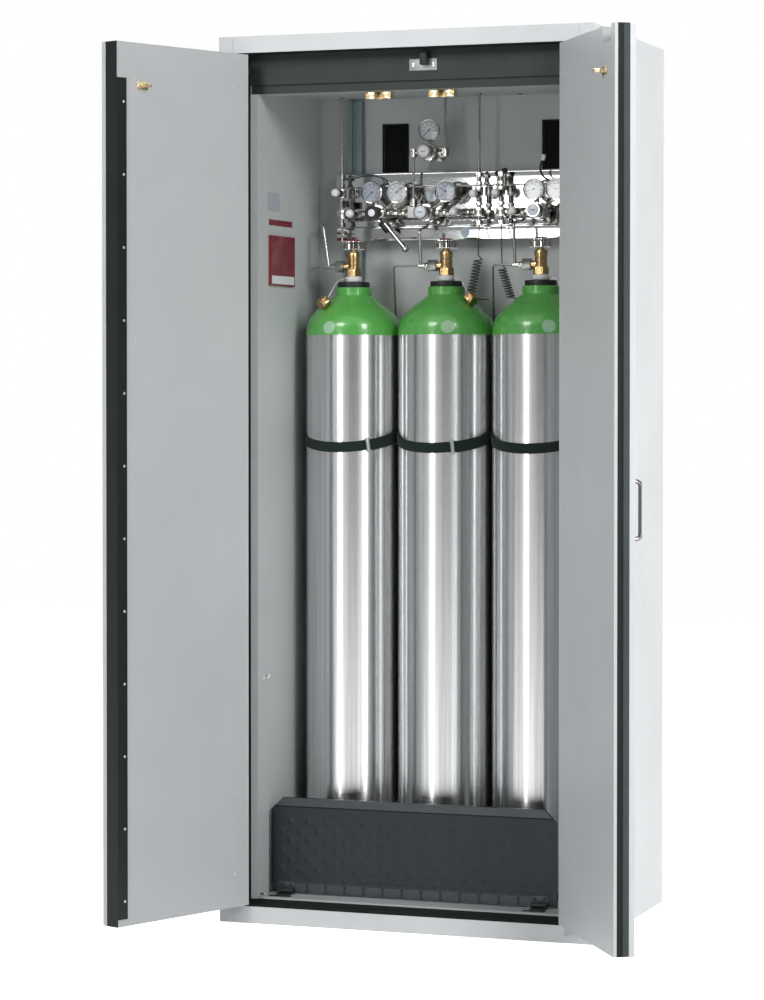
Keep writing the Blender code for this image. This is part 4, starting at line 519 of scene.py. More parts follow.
def metal(
    name,
    colour,
    dull_colour,
    roughness,
    grain=(700.0, 700.0, 700.0),
    depth=0.00003,
    swing=0.10,
    patches=0.4,
):
    """A metal with fine grain, drawn out along one axis where its finish is brushed."""
    made, tree, shader = new_finish(name, {"Metallic": 1.0})
    values = {"Colour": (*colour, 1), "Dull colour": (*dull_colour, 1), "Gloss loss": roughness}
    values.update({"Swing": swing, "Patches": patches, **dict(zip(grain_axes, grain))})
    brush = node(tree, "Group", values, node_tree=brush_group).outputs
    bump = node(tree, "Bump", {"Height": brush["Height"], "Strength": 0.3, "Distance": depth}).outputs[0]
    feed(tree, shader, {"Base Color": brush["Colour"], "Roughness": brush["Roughness"], "Normal": bump})
    return made


bright_screw = metal("bright_screw", (0.80, 0.80, 0.79), (0.6, 0.6, 0.6), 0.28)
chrome = metal("chrome", (0.50, 0.49, 0.465), (0.40, 0.39, 0.37), 0.07, swing=0.05)


signs = ((-1, -1), (1, -1), (1, 1), (-1, 1))
slab_faces = [(0, 1, 2, 3), (4, 5, 6, 7), (0, 1, 5, 4), (1, 2, 6, 5), (2, 3, 7, 6), (3, 0, 4, 7)]


def pan_screw(place, along, radius=0.0034, finish=None):
    """Cross-slotted pan head screw."""
    along = Vector(along).normalized()
    head = [
        (0, -0.0002), (radius, -0.0002), (radius, 0.0006), (radius * 0.86, 0.0013),
        (radius * 0.5, 0.0018), (0, 0.0019),
    ]
    forms = [(turned(head, place, along, 20), finish or bright_screw)]
    slot_length, slot_width, slot_depth = radius * 0.62, radius * 0.13, 0.0003
    centre = Vector(place) + along * 0.0017
    side = along.orthogonal().normalized()
    for across in (side, along.cross(side)):
        other = along.cross(across)
        corners = [
            centre + across * a * slot_length + other * b * slot_width + along * c * slot_depth
            for c in (-1, 1)
            for a, b in signs
        ]
        forms.append(((corners, slab_faces), dark_plastic))
    return forms


leaf_hinge_x, leaf_hinge_y, leaf_front = 0.4135, -0.305, -0.308
leaf_turns = {-1: radians(-112.4), 1: radians(122.5)}


def leaf_place(side, along, through, height):
    """A point on an open leaf: along from its free edge, through from its outer face."""
    hinge = Vector((side * leaf_hinge_x, leaf_hinge_y, 0))
    closed = Vector((side * (0.002 + along), leaf_front + through, height))
    return hinge + Matrix.Rotation(leaf_turns[side], 3, "Z") @ (closed - hinge)


def leaf_way(side, x, y):
    """A direction that moves with an open leaf."""
    return Matrix.Rotation(leaf_turns[side], 3, "Z") @ Vector((side * x, y, 0))


def on_leaf(side, form):
    """Carries a form from along, through and height of a closed leaf to the open leaf."""
    points, faces = form
    return [leaf_place(side, *point) for point in points], faces


profile_screws = []
for number in range(12):
    height = 0.101 + number * 0.1611
    profile_screws += pan_screw(leaf_place(-1, 0.0215, 0.0479, height), leaf_way(-1, 0, 1), 0.0031)
piece("meeting_profile_screws", "left_door", profile_screws)

groove_black = coated(
    "groove_black",
    (0.008, 0.012, 0.011),
    (0.02, 0.025, 0.025),
    0.6,
    drift=0.1,
    wear=0.2,
    Specular_IOR_Level=0.2,
)
edge_low, edge_high = 0.0447, 2.0058
edge_forms = [
    (on_leaf(1, block((0.0009, 0.0262, edge_low), (0.0024, 0.0387, edge_high), 0.0002, 1)), groove_black),
    (on_leaf(1, block((-0.0001, 0.0123, edge_low), (0.0022, 0.0270, edge_high), 0.0008)), edge_seal),
    (on_leaf(1, block((-0.0004, 0.0252, edge_low), (0.0010, 0.0270, edge_high), 0.0004)), profile_black),
]
piece("right_edge_profile", "right_door", edge_forms, ("right_door_edge_seal",))


def cover_cap(side, along, height):
    """Flat coated cap over a board screw on a leaf's inner face."""
    dome = [(0, 0), (0.0058, 0), (0.0062, 0.0003), (0.0058, 0.0009), (0.004, 0.0013), (0, 0.0014)]
    return turned(dome, leaf_place(side, along, 0.046, height), leaf_way(side, 0, 1), 24), door_face


cap_rows = (0.12, 0.30, 0.62, 0.98, 1.34, 1.70, 1.93)
for side, body in ((-1, "left_door"), (1, "right_door")):
    caps = [cover_cap(side, along, height) for along in (0.062, 0.372) for height in cap_rows]
    piece(f"{body}_caps", body, caps)


def rounded(points, radius, steps=7):
    """A route with its inner corners rounded."""
    points = [Vector(point) for point in points]
    route = [points[0]]
    for before, corner, after in zip(points, points[1:], points[2:]):
        start = corner + (before - corner).normalized() * radius
        end = corner + (after - corner).normalized() * radius
        for step in range(steps):
            t = step / (steps - 1)
            route.append(start * (1 - t) ** 2 + corner * 2 * t * (1 - t) + end * t * t)
    return route + [points[-1]]


def tubed(points, radius, sides=16):
    """A round tube along a route."""
    points = [Vector(point) for point in points]
    last = len(points) - 1
    corners, side = [], None
    for number, point in enumerate(points):
        ahead = (points[min(number + 1, last)] - points[max(number - 1, 0)]).normalized()
        side = ahead.orthogonal() if side is None else side - ahead * side.dot(ahead)
        side.normalize()
        across = ahead.cross(side)
        for step in range(sides):
            angle = tau * step / sides
            corners.append(point + (side * cos(angle) + across * sin(angle)) * radius)
    return corners, skin(len(corners), sides)


handle_height, handle_half, handle_reach, handle_bar = 0.983, 0.061, 0.026, 0.005
bow_steel = metal("bow_steel", (0.20, 0.20, 0.195), (0.18, 0.18, 0.175), 0.10, swing=0.05)
ends = [leaf_place(1, 0.045, 0, handle_height + half) for half in (-handle_half, handle_half)]
outward = leaf_way(1, 0, -1)
route = [
    ends[0] - outward * 0.001,
    ends[0] + outward * handle_reach,
    ends[1] + outward * handle_reach,
    ends[1] - outward * 0.001,
]
handle_forms = [(tubed(rounded(route, 0.0118, 12), handle_bar, 24), bow_steel)]
foot = [
    (0, 0), (0.0088, 0), (0.0090, 0.0006), (0.0086, 0.0022), (0.0066, 0.0032), (0.0050, 0.0034), (0, 0.0034),
]
handle_forms += [(turned(foot, end, outward, 32), chrome) for end in ends]
piece("bow_handle", "right_door", handle_forms, ("door_handle",))

# ---- Closing bracket and ball catches
# A dull zinc bracket with a dark nose is screwed to the header. Two brass double-ball catches sit
# under the edge of the ceiling and grip a tongue on each leaf. Dark strips seal the sill and the
# head, and also stand as painted shade in the sill's groove and under the fascia. A short pin with
# a bright head lies at the left end of the sill.

zinc = metal("zinc_plate", (0.60, 0.64, 0.65), (0.44, 0.48, 0.49), 0.30, swing=0.14)
brass = metal("brass", (0.52, 0.365, 0.175), (0.36, 0.25, 0.12), 0.27, swing=0.14)
pale_brass = metal("pale_brass", (0.78, 0.66, 0.42), (0.60, 0.48, 0.28), 0.26, swing=0.12)
front_header = -0.2603
dull_zinc = metal("dull_zinc", (0.33, 0.335, 0.335), (0.26, 0.265, 0.265), 0.50, swing=0.10)
bracket = [
    (block((0.0003, -0.2615, 1.9620), (0.0667, front_header, 1.9890), 0.0006), dull_zinc),
    (block((0.0317, -0.2833, 1.9732), (0.0483, -0.2613, 2.0028), 0.0016), dark_plastic),
]
flat_head = [
    (0, 0), (0.0044, 0), (0.0044, 0.0004), (0.0036, 0.0008), (0.0016, 0.0009), (0.0014, 0.0004), (0, 0.0004),
]
for x in (0.0095, 0.0580):
    bracket.append((turned(flat_head, (x, -0.2610, 1.9752), forward, 24), bright_screw))
piece("closing_bracket", "cabinet", bracket, ("latch_bracket",))

for side, along, body in ((-1, 0.079, "left_door"), (1, 0.0695, "right_door")):
    forms = [
        (
            on_leaf(side, block((along - 0.0173, 0.0460, 1.9027), (along + 0.0173, 0.0478, 1.9203), 0.0006)),
            pale_brass,
        ),
        (
            on_leaf(side, block((along - 0.0044, 0.0474, 1.9071), (along + 0.0044, 0.0724, 1.9159), 0.0012)),
            pale_brass,
        ),
    ]
    for offset in (-0.0115, 0.0115):
        forms += pan_screw(leaf_place(side, along + offset, 0.0478, 1.9115), leaf_way(side, 0, 1), 0.0032)
    piece(f"{body}_striker", body, forms)

catch_low, catch_high, catch_front, catch_back = 1.9028, 1.9197, -0.245, -0.222
ball_y, ball_height, ball_radius = -0.2370, 1.9110, 0.0038
ball = [(ball_radius * sin(pi * step / 12), -ball_radius * cos(pi * step / 12)) for step in range(13)]
spring_collar = [(0, 0), (0.0046, 0), (0.0046, 0.0016), (0.0036, 0.0024), (0, 0.0024)]
for x, word in ((-0.081, "left"), (0.0715, "right")):
    forms = [
        (block((x - 0.031, catch_front, catch_low), (x - 0.0072, catch_back, catch_high), 0.0012), pale_brass),
        (block((x + 0.0072, catch_front, catch_low), (x + 0.031, catch_back, catch_high), 0.0012), pale_brass),
        (
            block((x - 0.0085, catch_back - 0.0058, catch_low), (x + 0.0085, catch_back, catch_high), 0.0008),
            brass,
        ),
    ]
    for side in (-1, 1):
        forms.append((turned(ball, (x + side * 0.0087, ball_y, ball_height), (side, 0, 0), 20), chrome))
        forms += pan_screw((x + side * 0.0225, -0.2335, catch_low), downward, 0.0036)
        collar_place = (x + side * 0.0255, catch_front, ball_height)
        forms.append((turned(spring_collar, collar_place, forward, 20), brass))
    piece(f"double_ball_catch_{word}", "cabinet", forms, (f"ball_catch_{word}",))

# Each strip is partly a seal and partly painted shade: it darkens the sill groove and the fascia's underside.
for height, word in ((0.0391, "sill"), (2.0105, "head")):
    strip = block((-0.4000, -0.3070, height), (0.4000, -0.2620, height + 0.0009), 0.0003)
    piece(f"{word}_seal_strip", "cabinet", [(strip, seal_strip)])

sill_pin = rounded([(-0.3905, -0.2480, 0.0585), (-0.3790, -0.2480, 0.0605), (-0.3620, -0.2440, 0.0590)], 0.004)
pin_head = [(0.0028 * sin(pi * step / 10), -0.0028 * cos(pi * step / 10)) for step in range(11)]
pin_forms = [
    (tubed(sill_pin, 0.0016, 12), dark_plastic),
    (turned(pin_head, (-0.3615, -0.2440, 0.0590), (1, 0, 0), 20), bright_screw),
]
piece("sill_pin", "cabinet", pin_forms)

# ---- Roll-in ramp
# A checker-pressed steel flap with a slate coat, plain rims and two hinges. Its top edge is folded
# back and its bottom edge forward, with dark marks on the low rim. It folds down over the sill.

ramp_coat = coated(
    "slate_coat",
    (0.0115, 0.0180, 0.0210),
    (0.065, 0.078, 0.086),
    0.42,
    drift=0.16,
    peel=700.0,
    wear=0.45,
    Specular_IOR_Level=0.3,
)
ramp_rim = coated(
    "slate_rim",
    (0.026, 0.031, 0.036),
    (0.10, 0.11, 0.12),
    0.38,
    drift=0.16,
    peel=700.0,
    wear=0.6,
)
ramp_left, ramp_right = -0.364, 0.334
ramp_front = -0.1975


def pressed_plate():
    """The ramp's plate: a grid with raised lozenges, a bevelled outline and two folds."""
    low, high, cut, thickness, lozenge_pitch = 0.0590, 0.2800, 0.028, 0.0030, 0.0450
    columns, rows = 232, 73
    points, faces = [], []
    for row in range(rows + 1):
        z = low + (high - low) * row / rows
        inset = max(0.0, z - (high - cut))
        for column in range(columns + 1):
            x = ramp_left + inset + (ramp_right - ramp_left - 2 * inset) * column / columns
            a, b = (x - z) / lozenge_pitch, (x + z) / lozenge_pitch
            lozenge = max(0.0, 1.0 - 4.2 * abs(a - round(a))) * max(0.0, 1.0 - 4.2 * abs(b - round(b)))
            above, below = (z - low - 0.026) / 0.006, (high - 0.034 - z) / 0.006
            inside = min(1.0, max(0.0, above)) * min(1.0, max(0.0, below))
            relief = 0.0010 * min(1.0, lozenge * 2.2) * inside
            step_out = 0.0011 * (1 - min(1.0, max(0.0, (z - low - 0.021) / 0.004)))
            fold = 0.0032 * max(0.0, (z - (high - 0.019)) / 0.019)
            points.append(Vector((x, ramp_front - relief - step_out + fold, z)))
    width = columns + 1
    front = len(points)
    points += [point + Vector((0, thickness, 0)) for point in points[:front]]
    for row in range(rows):
        for column in range(columns):
            a = row * width + column
            face = (a, a + 1, a + width + 1, a + width)
            faces += [face, tuple(front + number for number in face[::-1])]
    rim = [(start + a, start + a + 1) for start in (0, rows * width) for a in range(columns)]
    rim += [(a * width + side, (a + 1) * width + side) for side in (0, columns) for a in range(rows)]
    faces += [(a, b, front + b, front + a) for a, b in rim]
    return points, faces


def cut_sheet(outline, front, back):
    """A sheet cut to an outline in x and z, between two slopes given as functions of z."""
    count = len(outline)
    corners = [Vector((x, side(z), z)) for side in (front, back) for x, z in outline]
    faces = [tuple(range(count)), tuple(range(2 * count - 1, count - 1, -1))]
    faces += [(a, (a + 1) % count, (a + 1) % count + count, a + count) for a in range(count)]
    return corners, faces


rim_foot, rim_top, low_rim_foot, low_rim_top = 0.2615, 0.2796, 0.0593, 0.0800


def leaning(z):
    """Front of the top rim, which leans back with the fold."""
    return ramp_front - 0.0018 + 0.100 * max(0.0, z - rim_foot)


def set_out(lift):
    """A flat front that stands before the plate by this much."""
    return lambda z: ramp_front - lift


def across_ramp(inset, front, low, high, back, bevel):
    """A bar across the ramp, in by inset at both ends."""
    ends = ramp_left + inset, ramp_right - inset
    return block((ends[0], ramp_front + front, low), (ends[1], back, high), bevel)


top_rim = [
    (ramp_left + 0.0104, rim_foot), (ramp_right - 0.0104, rim_foot),
    (ramp_right - 0.0284, rim_top), (ramp_left + 0.0284, rim_top),
]
low_rim = [
    (ramp_left + 0.0180, low_rim_foot), (ramp_right - 0.0180, low_rim_foot),
    (ramp_right - 0.0180, low_rim_top), (ramp_left + 0.0180, low_rim_top),
]
ramp_forms = [
    (pressed_plate(), ramp_coat),
    (cut_sheet(top_rim, leaning, lambda z: leaning(z) + 0.0030), ramp_rim),
    (cut_sheet(low_rim, set_out(0.0018), set_out(0.0)), ramp_rim),
    (across_ramp(0.0090, -0.0008, 0.2582, rim_foot, ramp_front + 0.0005, 0.0003), groove_black),
    # A dark strip down the left edge stands partly for the side flange and partly for painted shade beside the
    # plate; the right edge has none.
    (
        block(
            (ramp_left, ramp_front - 0.0010, 0.0620), (ramp_left + 0.0085, ramp_front + 0.0005, 0.2500), 0.0005
        ),
        groove_black,
    ),
]
mark_start, mark_pitch = ramp_left + 0.0900, 0.0470
mark = [
    (-0.0048, 0.0597), (0.0048, 0.0597), (0.0022, 0.0700),
    (0.0050, 0.0797), (-0.0050, 0.0797), (-0.0022, 0.0700),
]
for number in range(12):
    shifted = [(mark_start + number * mark_pitch + x, z) for x, z in mark]
    ramp_forms.append((cut_sheet(shifted, set_out(0.0021), set_out(0.0015)), ramp_coat))
ramp_forms.append((across_ramp(0.0285, 0.0010, 0.2766, 0.2799, -0.1822, 0.0012), ramp_coat))

knuckle_y, knuckle_height, plate_front, plate_back = -0.20595, 0.063, -0.2012, -0.1980
knuckle = [
    (0.0030, 0), (0.0050, 0), (0.0055, 0.0006), (0.0055, 0.0294),
    (0.0050, 0.030), (0.0030, 0.030), (0.0030, 0),
]
for centre, word in ((ramp_left + 0.040, "left"), (ramp_right - 0.040, "right")):
    low, high = centre - 0.0145, centre + 0.0145
    ramp_forms += [
        (turned(knuckle, (centre - 0.015, knuckle_y, knuckle_height), (1, 0, 0), 24), dark_plastic),
        (block((low, -0.2050, 0.0612), (high, ramp_front + 0.001, 0.0672), 0.0006), dark_plastic),
        (block((low, plate_front, 0.0632), (high, plate_back, 0.0704), 0.0004), dark_plastic),
        (block((centre - 0.021, plate_front, 0.0700), (centre + 0.021, plate_back, 0.0830), 0.0008), ramp_rim),
    ]
    for x in (-0.011, 0.011):
        ramp_forms += pan_screw((centre + x, plate_front, 0.0775), forward, 0.0028, dark_plastic)
    bases = [
        (block((centre - 0.018, -0.2440, 0.0552), (centre + 0.018, -0.1985, 0.0567), 0.0005), ramp_rim),
        (block((centre - 0.027, -0.2475, 0.0552), (centre + 0.027, -0.2415, 0.0578), 0.0008), dark_plastic),
    ]
    for near, far in ((-0.0197, -0.0151), (0.0151, 0.0197)):
        lug = block((centre + near, -0.2108, 0.0553), (centre + far, -0.2012, 0.0678), 0.0008)
        bases.append((lug, dark_plastic))
    piece(f"ramp_hinge_base_{word}", "cabinet", bases)
piece("pressed_ramp", "ramp", ramp_forms, ("ramp",))

# ---- Wall fittings
# A galvanised C rail and a strap rail are bolted to the rear wall. Black grilles cover the two
# exhaust windows, with a black block behind each: partly a fire block, partly painted shade for the
# dark inside of the shaft. The red pocket holds papers and stays empty.

# Painted highlight: the rail's edges take a much paler colour at a high share, which draws thin bright lines
# along its folds on top of its edge wear.
rail_grey = coated("rail_grey", (0.19, 0.27, 0.27), (0.55, 0.62, 0.62), 0.36, drift=0.06, peel=600.0, wear=0.8)
dress(rail_grey, "mounting_rail")
piece(
    "rail_infill",
    "cabinet",
    [(block((-0.2809, 0.1315, 1.2200), (-0.2681, 0.1335, 1.9300), 0.0003, 1), rail_grey)],
)
dress(zinc, "strap_rail")
rail_x, rail_bolt_y, strap_bolt_y, strap_rail_height = -0.2745, 0.1462, 0.1218, 1.1605
head = [(0, 0), (0.0046, 0), (0.0050, 0.0008), (0.0050, 0.0032), (0.0044, 0.0040), (0, 0.0040)]
rail_bolts = [
    (turned(head, (rail_x, rail_bolt_y, height), forward, 24, (6, 0.0044)), dark_plastic)
    for height in (1.245, 1.500, 1.868)
]
piece("rail_bolts", "cabinet", rail_bolts)
head = [(0, 0), (0.0062, 0), (0.0066, 0.0010), (0.0066, 0.0032), (0.0060, 0.0040), (0, 0.0040)]
strap_bolts = [
    (turned(head, (x, strap_bolt_y, strap_rail_height), forward, 24, (6, 0.0058)), bright_screw)
    for x in (-0.335, -0.1165, 0.1165, 0.335)
]
piece("strap_rail_bolts", "cabinet", strap_bolts)

grille_black = coated(
    "grille_black",
    (0.006, 0.009, 0.008),
    (0.02, 0.02, 0.02),
    0.6,
    drift=0.1,
    wear=0.2,
    Specular_IOR_Level=0.15,
)
grille_foot, grille_top, bar_half = 1.760, 1.877, 0.00045
frame_bars = (
    ((-0.0335, grille_foot), (-0.0305, grille_top)),
    ((0.0305, grille_foot), (0.0335, grille_top)),
    ((-0.0310, grille_foot), (0.0310, 1.763)),
    ((-0.0310, 1.874), (0.0310, grille_top)),
)
for centre, word in vent_places:
    forms = []
    for near, far in frame_bars:
        strip = block((centre + near[0], 0.1461, near[1]), (centre + far[0], 0.1489, far[1]), 0.0004)
        forms.append((strip, grille_black))
    for column in range(1, 16):
        x = centre - 0.0305 + 0.061 * column / 16
        forms.append(
            (block((x - bar_half, 0.1466, 1.762), (x + bar_half, 0.1476, 1.875), 0.0001, 1), grille_black)
        )
    for row in range(1, 29):
        z = 1.763 + 0.111 * row / 29
        strip = block((centre - 0.031, 0.1474, z - bar_half), (centre + 0.031, 0.1484, z + bar_half), 0.0001, 1)
        forms.append((strip, grille_black))
    piece(f"exhaust_grille_{word}", "cabinet", forms, (f"vent_grille_{word}",))
    # Painted shade: a black block behind each grille darkens the shaft, and partly stands for its fire block.
    fire_block_and_shade = block((centre - 0.0302, 0.1580, 1.7635), (centre + 0.0302, 0.1700, 1.8735), 0.0010)
    piece(f"exhaust_fire_block_{word}", "cabinet", [(fire_block_and_shade, grille_black)])

red_plastic = coated(
    "red_plastic",
    (0.20, 0.012, 0.020),
    (0.34, 0.03, 0.04),
    0.24,
    drift=0.10,
    peel=500.0,
    wear=0.3,
    Coat_Weight=0.5,
    Coat_Roughness=0.12,
)
white_plastic = coated("white_plastic", (0.74, 0.75, 0.77), (0.80, 0.80, 0.80), 0.34, drift=0.03, wear=0.2)
dress(red_plastic, "document_holder")
wall = -0.3722


def wall_sheet(lift, near, far, thickness=0.0004):
    """A thin label: lift from the wall, corners as y and z."""
    return block((wall + lift, near[0], near[1]), (wall + lift + thickness, far[0], far[1]), 0.0001, 1)


holder_trim = [
    (wall_sheet(0.0060, (-0.1900, 1.5150), (-0.0390, 1.5950)), red_plastic),
    (wall_sheet(0.0062, (-0.1860, 1.4840), (-0.0430, 1.5030), 0.0005), white_plastic),
]
piece("holder_label", "cabinet", holder_trim)
plate_grey = coated("plate_grey", (0.40, 0.44, 0.48), (0.46, 0.48, 0.50), 0.40, drift=0.05, wear=0.2)
wall_strips = [
    (block((wall - 0.0002, -0.1900, 1.6210), (wall + 0.0006, -0.0400, 1.6350), 0.0002, 1), red_plastic),
    (block((wall - 0.0002, -0.2010, 1.6550), (wall + 0.0006, -0.1210, 1.6970), 0.0002, 1), plate_grey),
]
piece("wall_labels", "cabinet", wall_strips)
hook_y, hook_height = -0.222, 0.561
bend = [(wall - 0.0004, hook_height), (wall + 0.012, hook_height), (wall + 0.014, hook_height + 0.011)]
washer = [(0, 0), (0.006, 0), (0.0062, 0.0006), (0.005, 0.0014), (0, 0.0014)]
hook = [
    (tubed(rounded([(x, hook_y, z) for x, z in bend], 0.004), 0.0018, 12), bright_screw),
    (turned(washer, (wall, hook_y, hook_height), (1, 0, 0), 24), bright_screw),
]
piece("wall_hook", "cabinet", hook)

# ---- Gas panel
# A folded stainless sheet with raised top and bottom strips carries the stations. It stands off
# the wall on its end legs and the C rail. Its face is cold-rolled bright, with fine lines along it.

stainless = metal(
    "stainless",
    (0.60, 0.61, 0.61),
    (0.55, 0.55, 0.54),
    0.07,
    grain=(18.0, 900.0, 900.0),
    depth=0.00001,
    swing=0.06,
    patches=0.15,
)
half, panel_low, panel_high = 0.310, 1.593, 1.755
front, field, back, sheet = 0.100, 0.109, 0.1277, 0.002


def folded_profile(route, thickness):
    """Both sides of a folded sheet, as one closed outline."""
    left = []
    for number, point in enumerate(route):
        before = route[max(number - 1, 0)]
        after = route[min(number + 1, len(route) - 1)]
        along = (Vector(after) - Vector(before)).normalized()
        left.append(Vector(point) + Vector((along.y, -along.x)) * thickness)
    return [Vector(point) for point in route] + left[::-1]


def extruded(outline, start, end):
    """An outline in y and z, drawn out along x."""
    corners = [Vector((x, point[0], point[1])) for x in (start, end) for point in outline]
    return corners, skin(len(corners), len(outline))


def flat_rounded(route, radius):
    """A flat route with its inner corners rounded."""
    return [Vector((point.x, point.y)) for point in rounded([(a, b, 0) for a, b in route], radius, 5)]


edge = 0.033
skin_route = [(back, panel_low), (front, panel_low), (front, panel_low + edge), (field, panel_low + edge)]
skin_route += [(field, panel_high - edge), (front, panel_high - edge), (front, panel_high), (back, panel_high)]
panel_outline = folded_profile(flat_rounded(skin_route, 0.0022), sheet)
panel_forms = [(extruded(panel_outline, -half, half), stainless)]
for side in (-1, 1):
    edges = sorted((side * 0.308, side * 0.3103))
    panel_forms.append(
        (block((edges[0], field, panel_low + 0.001), (edges[1], 0.1487, panel_high - 0.001), 0.0006), stainless)
    )
    for height in (panel_low + 0.0165, panel_high - 0.0165):
        panel_forms += pan_screw((side * 0.296, front, height), forward, 0.0038)
label_grey = coated("label_grey", (0.42, 0.41, 0.42), (0.48, 0.48, 0.48), 0.36, drift=0.05, wear=0.2)
panel_forms.append(
    (block((-0.147, front - 0.0004, 1.6005), (-0.062, front + 0.0002, 1.6190), 0.0002, 1), label_grey)
)
disc = [(0, 0), (0.0112, 0), (0.0112, 0.0003), (0, 0.0004)]
pale_blue = coated("pale_blue_film", (0.42, 0.50, 0.62), (0.5, 0.55, 0.62), 0.42, drift=0.05, wear=0.1)
panel_forms.append((turned(disc, (0.0160, front + 0.0001, 1.6105), forward, 32), pale_blue))
piece("gas_panel_skin", "cabinet", panel_forms, ("gas_panel",))

# ---- Gas cylinders
# Seamless aluminium cylinders with a turned satin body. The shoulder and its collar are painted
# green, and a black ring closes the neck. A plain film disc sits low on each shoulder.


def body_aluminium():
    """Satin aluminium, drawn upwards and polished round: lines both ways, and vertical streaks in the colour
    that are partly drawn grain and partly painted reflection bands.
    """
    smooth = {"Metallic": 1.0, "Anisotropic": 0.8, "Anisotropic Rotation": 0.25}
    made, tree, shader = new_finish("body_aluminium", smooth)
    place = node(tree, "TexCoord").outputs["Object"]
    polish = (9.0, 9.0, 900.0)
    grain_and_reflection_streak = noise(tree, drawn_out(tree, place, (140.0, 140.0, 1.1)), 1.0, 5.0, 0.62)
    ring = noise(tree, drawn_out(tree, place, polish), 1.0, 2.0)
    values = {"Colour": (0.70, 0.705, 0.71, 1), "Dull colour": (0.66, 0.665, 0.67, 1), "Gloss loss": 0.235}
    values.update({"Swing": 0.05, "Patches": 0.12, **dict(zip(grain_axes, polish))})
    grain = node(tree, "Group", values, node_tree=brush_group).outputs
    # The streaks darken and lighten the colour: partly grain, partly painted reflection bands.
    colour = dimmed(tree, grain["Colour"], ranged(tree, grain_and_reflection_streak, 0.37, 0.63, 0.82, 1.06))
    rough = maths(tree, "ADD", grain["Roughness"], ranged(tree, grain_and_reflection_streak, 0.3, 0.7, 0.03, -0.03))
    height = maths(tree, "ADD", ring, grain_and_reflection_streak)
    bump = node(tree, "Bump", {"Height": height, "Strength": 0.25, "Distance": 0.00003}).outputs[0]
    around = node(tree, "Tangent", direction_type="RADIAL", axis="Z").outputs[0]
    feed(tree, shader, {"Tangent": around, "Base Color": colour, "Roughness": rough, "Normal": bump})
    return made


body_metal = body_aluminium()
green_paint = coated(
    "shoulder_green",
    (0.085, 0.36, 0.065),
    (0.30, 0.45, 0.28),
    0.26,
    drift=0.06,
    peel=420.0,
    depth=0.00008,
    wear=0.3,
    Coat_Weight=0.6,
    Coat_Roughness=0.10,
)
neck_black = coated(
    "neck_black",
    (0.012, 0.014, 0.013),
    (0.04, 0.04, 0.04),
    0.46,
    drift=0.1,
    wear=0.3,
    Specular_IOR_Level=0.3,
)
film_disc = coated("clear_film", (0.30, 0.50, 0.32), (0.45, 0.6, 0.45), 0.30, drift=0.25, peel=260.0, wear=0.1)
pitch, column_y, foot = 0.233, 0.007, 0.0553
column_x = (-pitch, 0.0, pitch)
shell, shoulder, collar_foot = 0.1145, 1.3643, 1.4593


def between(p, q, r, s, t):
    """One coordinate of a smooth curve, at the share t of the way from q to r."""
    bend, twist = 2 * p - 5 * q + 4 * r - s, 3 * q - p - 3 * r + s
    return 0.5 * (2 * q + (r - p) * t + bend * t * t + twist * t**3)


def smooth_curve(knots, steps):
    """Points of a smooth curve through the knots, as pairs."""
    made = []
    ends = [knots[0]] + list(knots) + [knots[-1]]
    for a, b, c, d in zip(ends, ends[1:], ends[2:], ends[3:]):
        for step in range(steps):
            made.append(tuple(between(*knot, step / steps) for knot in zip(a, b, c, d)))
    return made + [knots[-1]]


foot_round, rise = 0.014, collar_foot - shoulder
body_profile = [(0, 0.004), (0.070, 0.004), (0.088, 0)]
for step in range(9):
    turn = pi / 2 * step / 8
    body_profile.append((shell - foot_round + foot_round * sin(turn), foot_round - foot_round * cos(turn)))
body_profile += [(shell, 0.20 + 0.1 * step) for step in range(11)] + [(shell, shoulder - foot)]
shares = [(1, 0), (0.99, 0.15), (0.965, 0.30), (0.885, 0.48), (0.745, 0.66), (0.56, 0.83), (0.385, 1.0)]
dome = smooth_curve([(shell * a, shoulder - foot + rise * b) for a, b in shares], 6)
top = collar_foot - foot
shoulder_profile = [(shell - 0.0005, shoulder - foot)] + dome + [(0.0400, top + 0.0004)]
collar_profile = [
    (0.0400, top), (0.0432, top), (0.0435, top + 0.0010), (0.0435, top + 0.0178),
    (0.0428, top + 0.0187), (0.0380, top + 0.0187),
]
ring_profile = [
    (0.0370, top + 0.0180), (0.0379, top + 0.0188), (0.0380, top + 0.0200), (0.0380, top + 0.0300),
    (0.0372, top + 0.0316), (0.0150, top + 0.0320), (0.0, top + 0.0320),
]


def shoulder_radius(z):
    """Radius of the shoulder at this height."""
    share = min(1.0, max(0.0, (z - (shoulder - foot)) / rise))
    knot = max(index for index in range(len(shares) - 1) if shares[index][1] <= share)
    (r0, s0), (r1, s1) = shares[knot], shares[knot + 1]
    return shell * (r0 + (r1 - r0) * (share - s0) / (s1 - s0))


def shoulder_film(angle):
    """A round film that follows the shoulder, 0.9 mm out so that it clears the curve."""
    count, rings, reach = 14, 14, 0.0165
    centre = shoulder - foot + 0.012 + reach * 0.35
    points = []
    for ring in range(rings + 1):
        for step in range(count):
            turn = tau * step / count
            z = centre + reach * ring / rings * sin(turn) * 0.92
            radius = shoulder_radius(z) + 0.0009
            a = angle + reach * ring / rings * cos(turn) / radius
            points.append(Vector((radius * cos(a), radius * sin(a), z)))
    return points, skin(len(points), count, False)


for number, (x, film_angle) in enumerate(zip(column_x, (-101, -70, -64))):
    forms = [
        (turned(body_profile, (0, 0, 0), segments=128), body_metal),
        (turned(shoulder_profile, (0, 0, 0), segments=128), green_paint),
        (turned(collar_profile, (0, 0, 0), segments=96), green_paint),
        (turned(ring_profile, (0, 0, 0), segments=96), neck_black),
        (shoulder_film(radians(film_angle)), film_disc),
    ]
    stands_for = (f"cylinder_{number + 1}",)
    piece(f"aluminium_cylinder_{number + 1}", "cabinet", forms, stands_for, (x, column_y, foot))

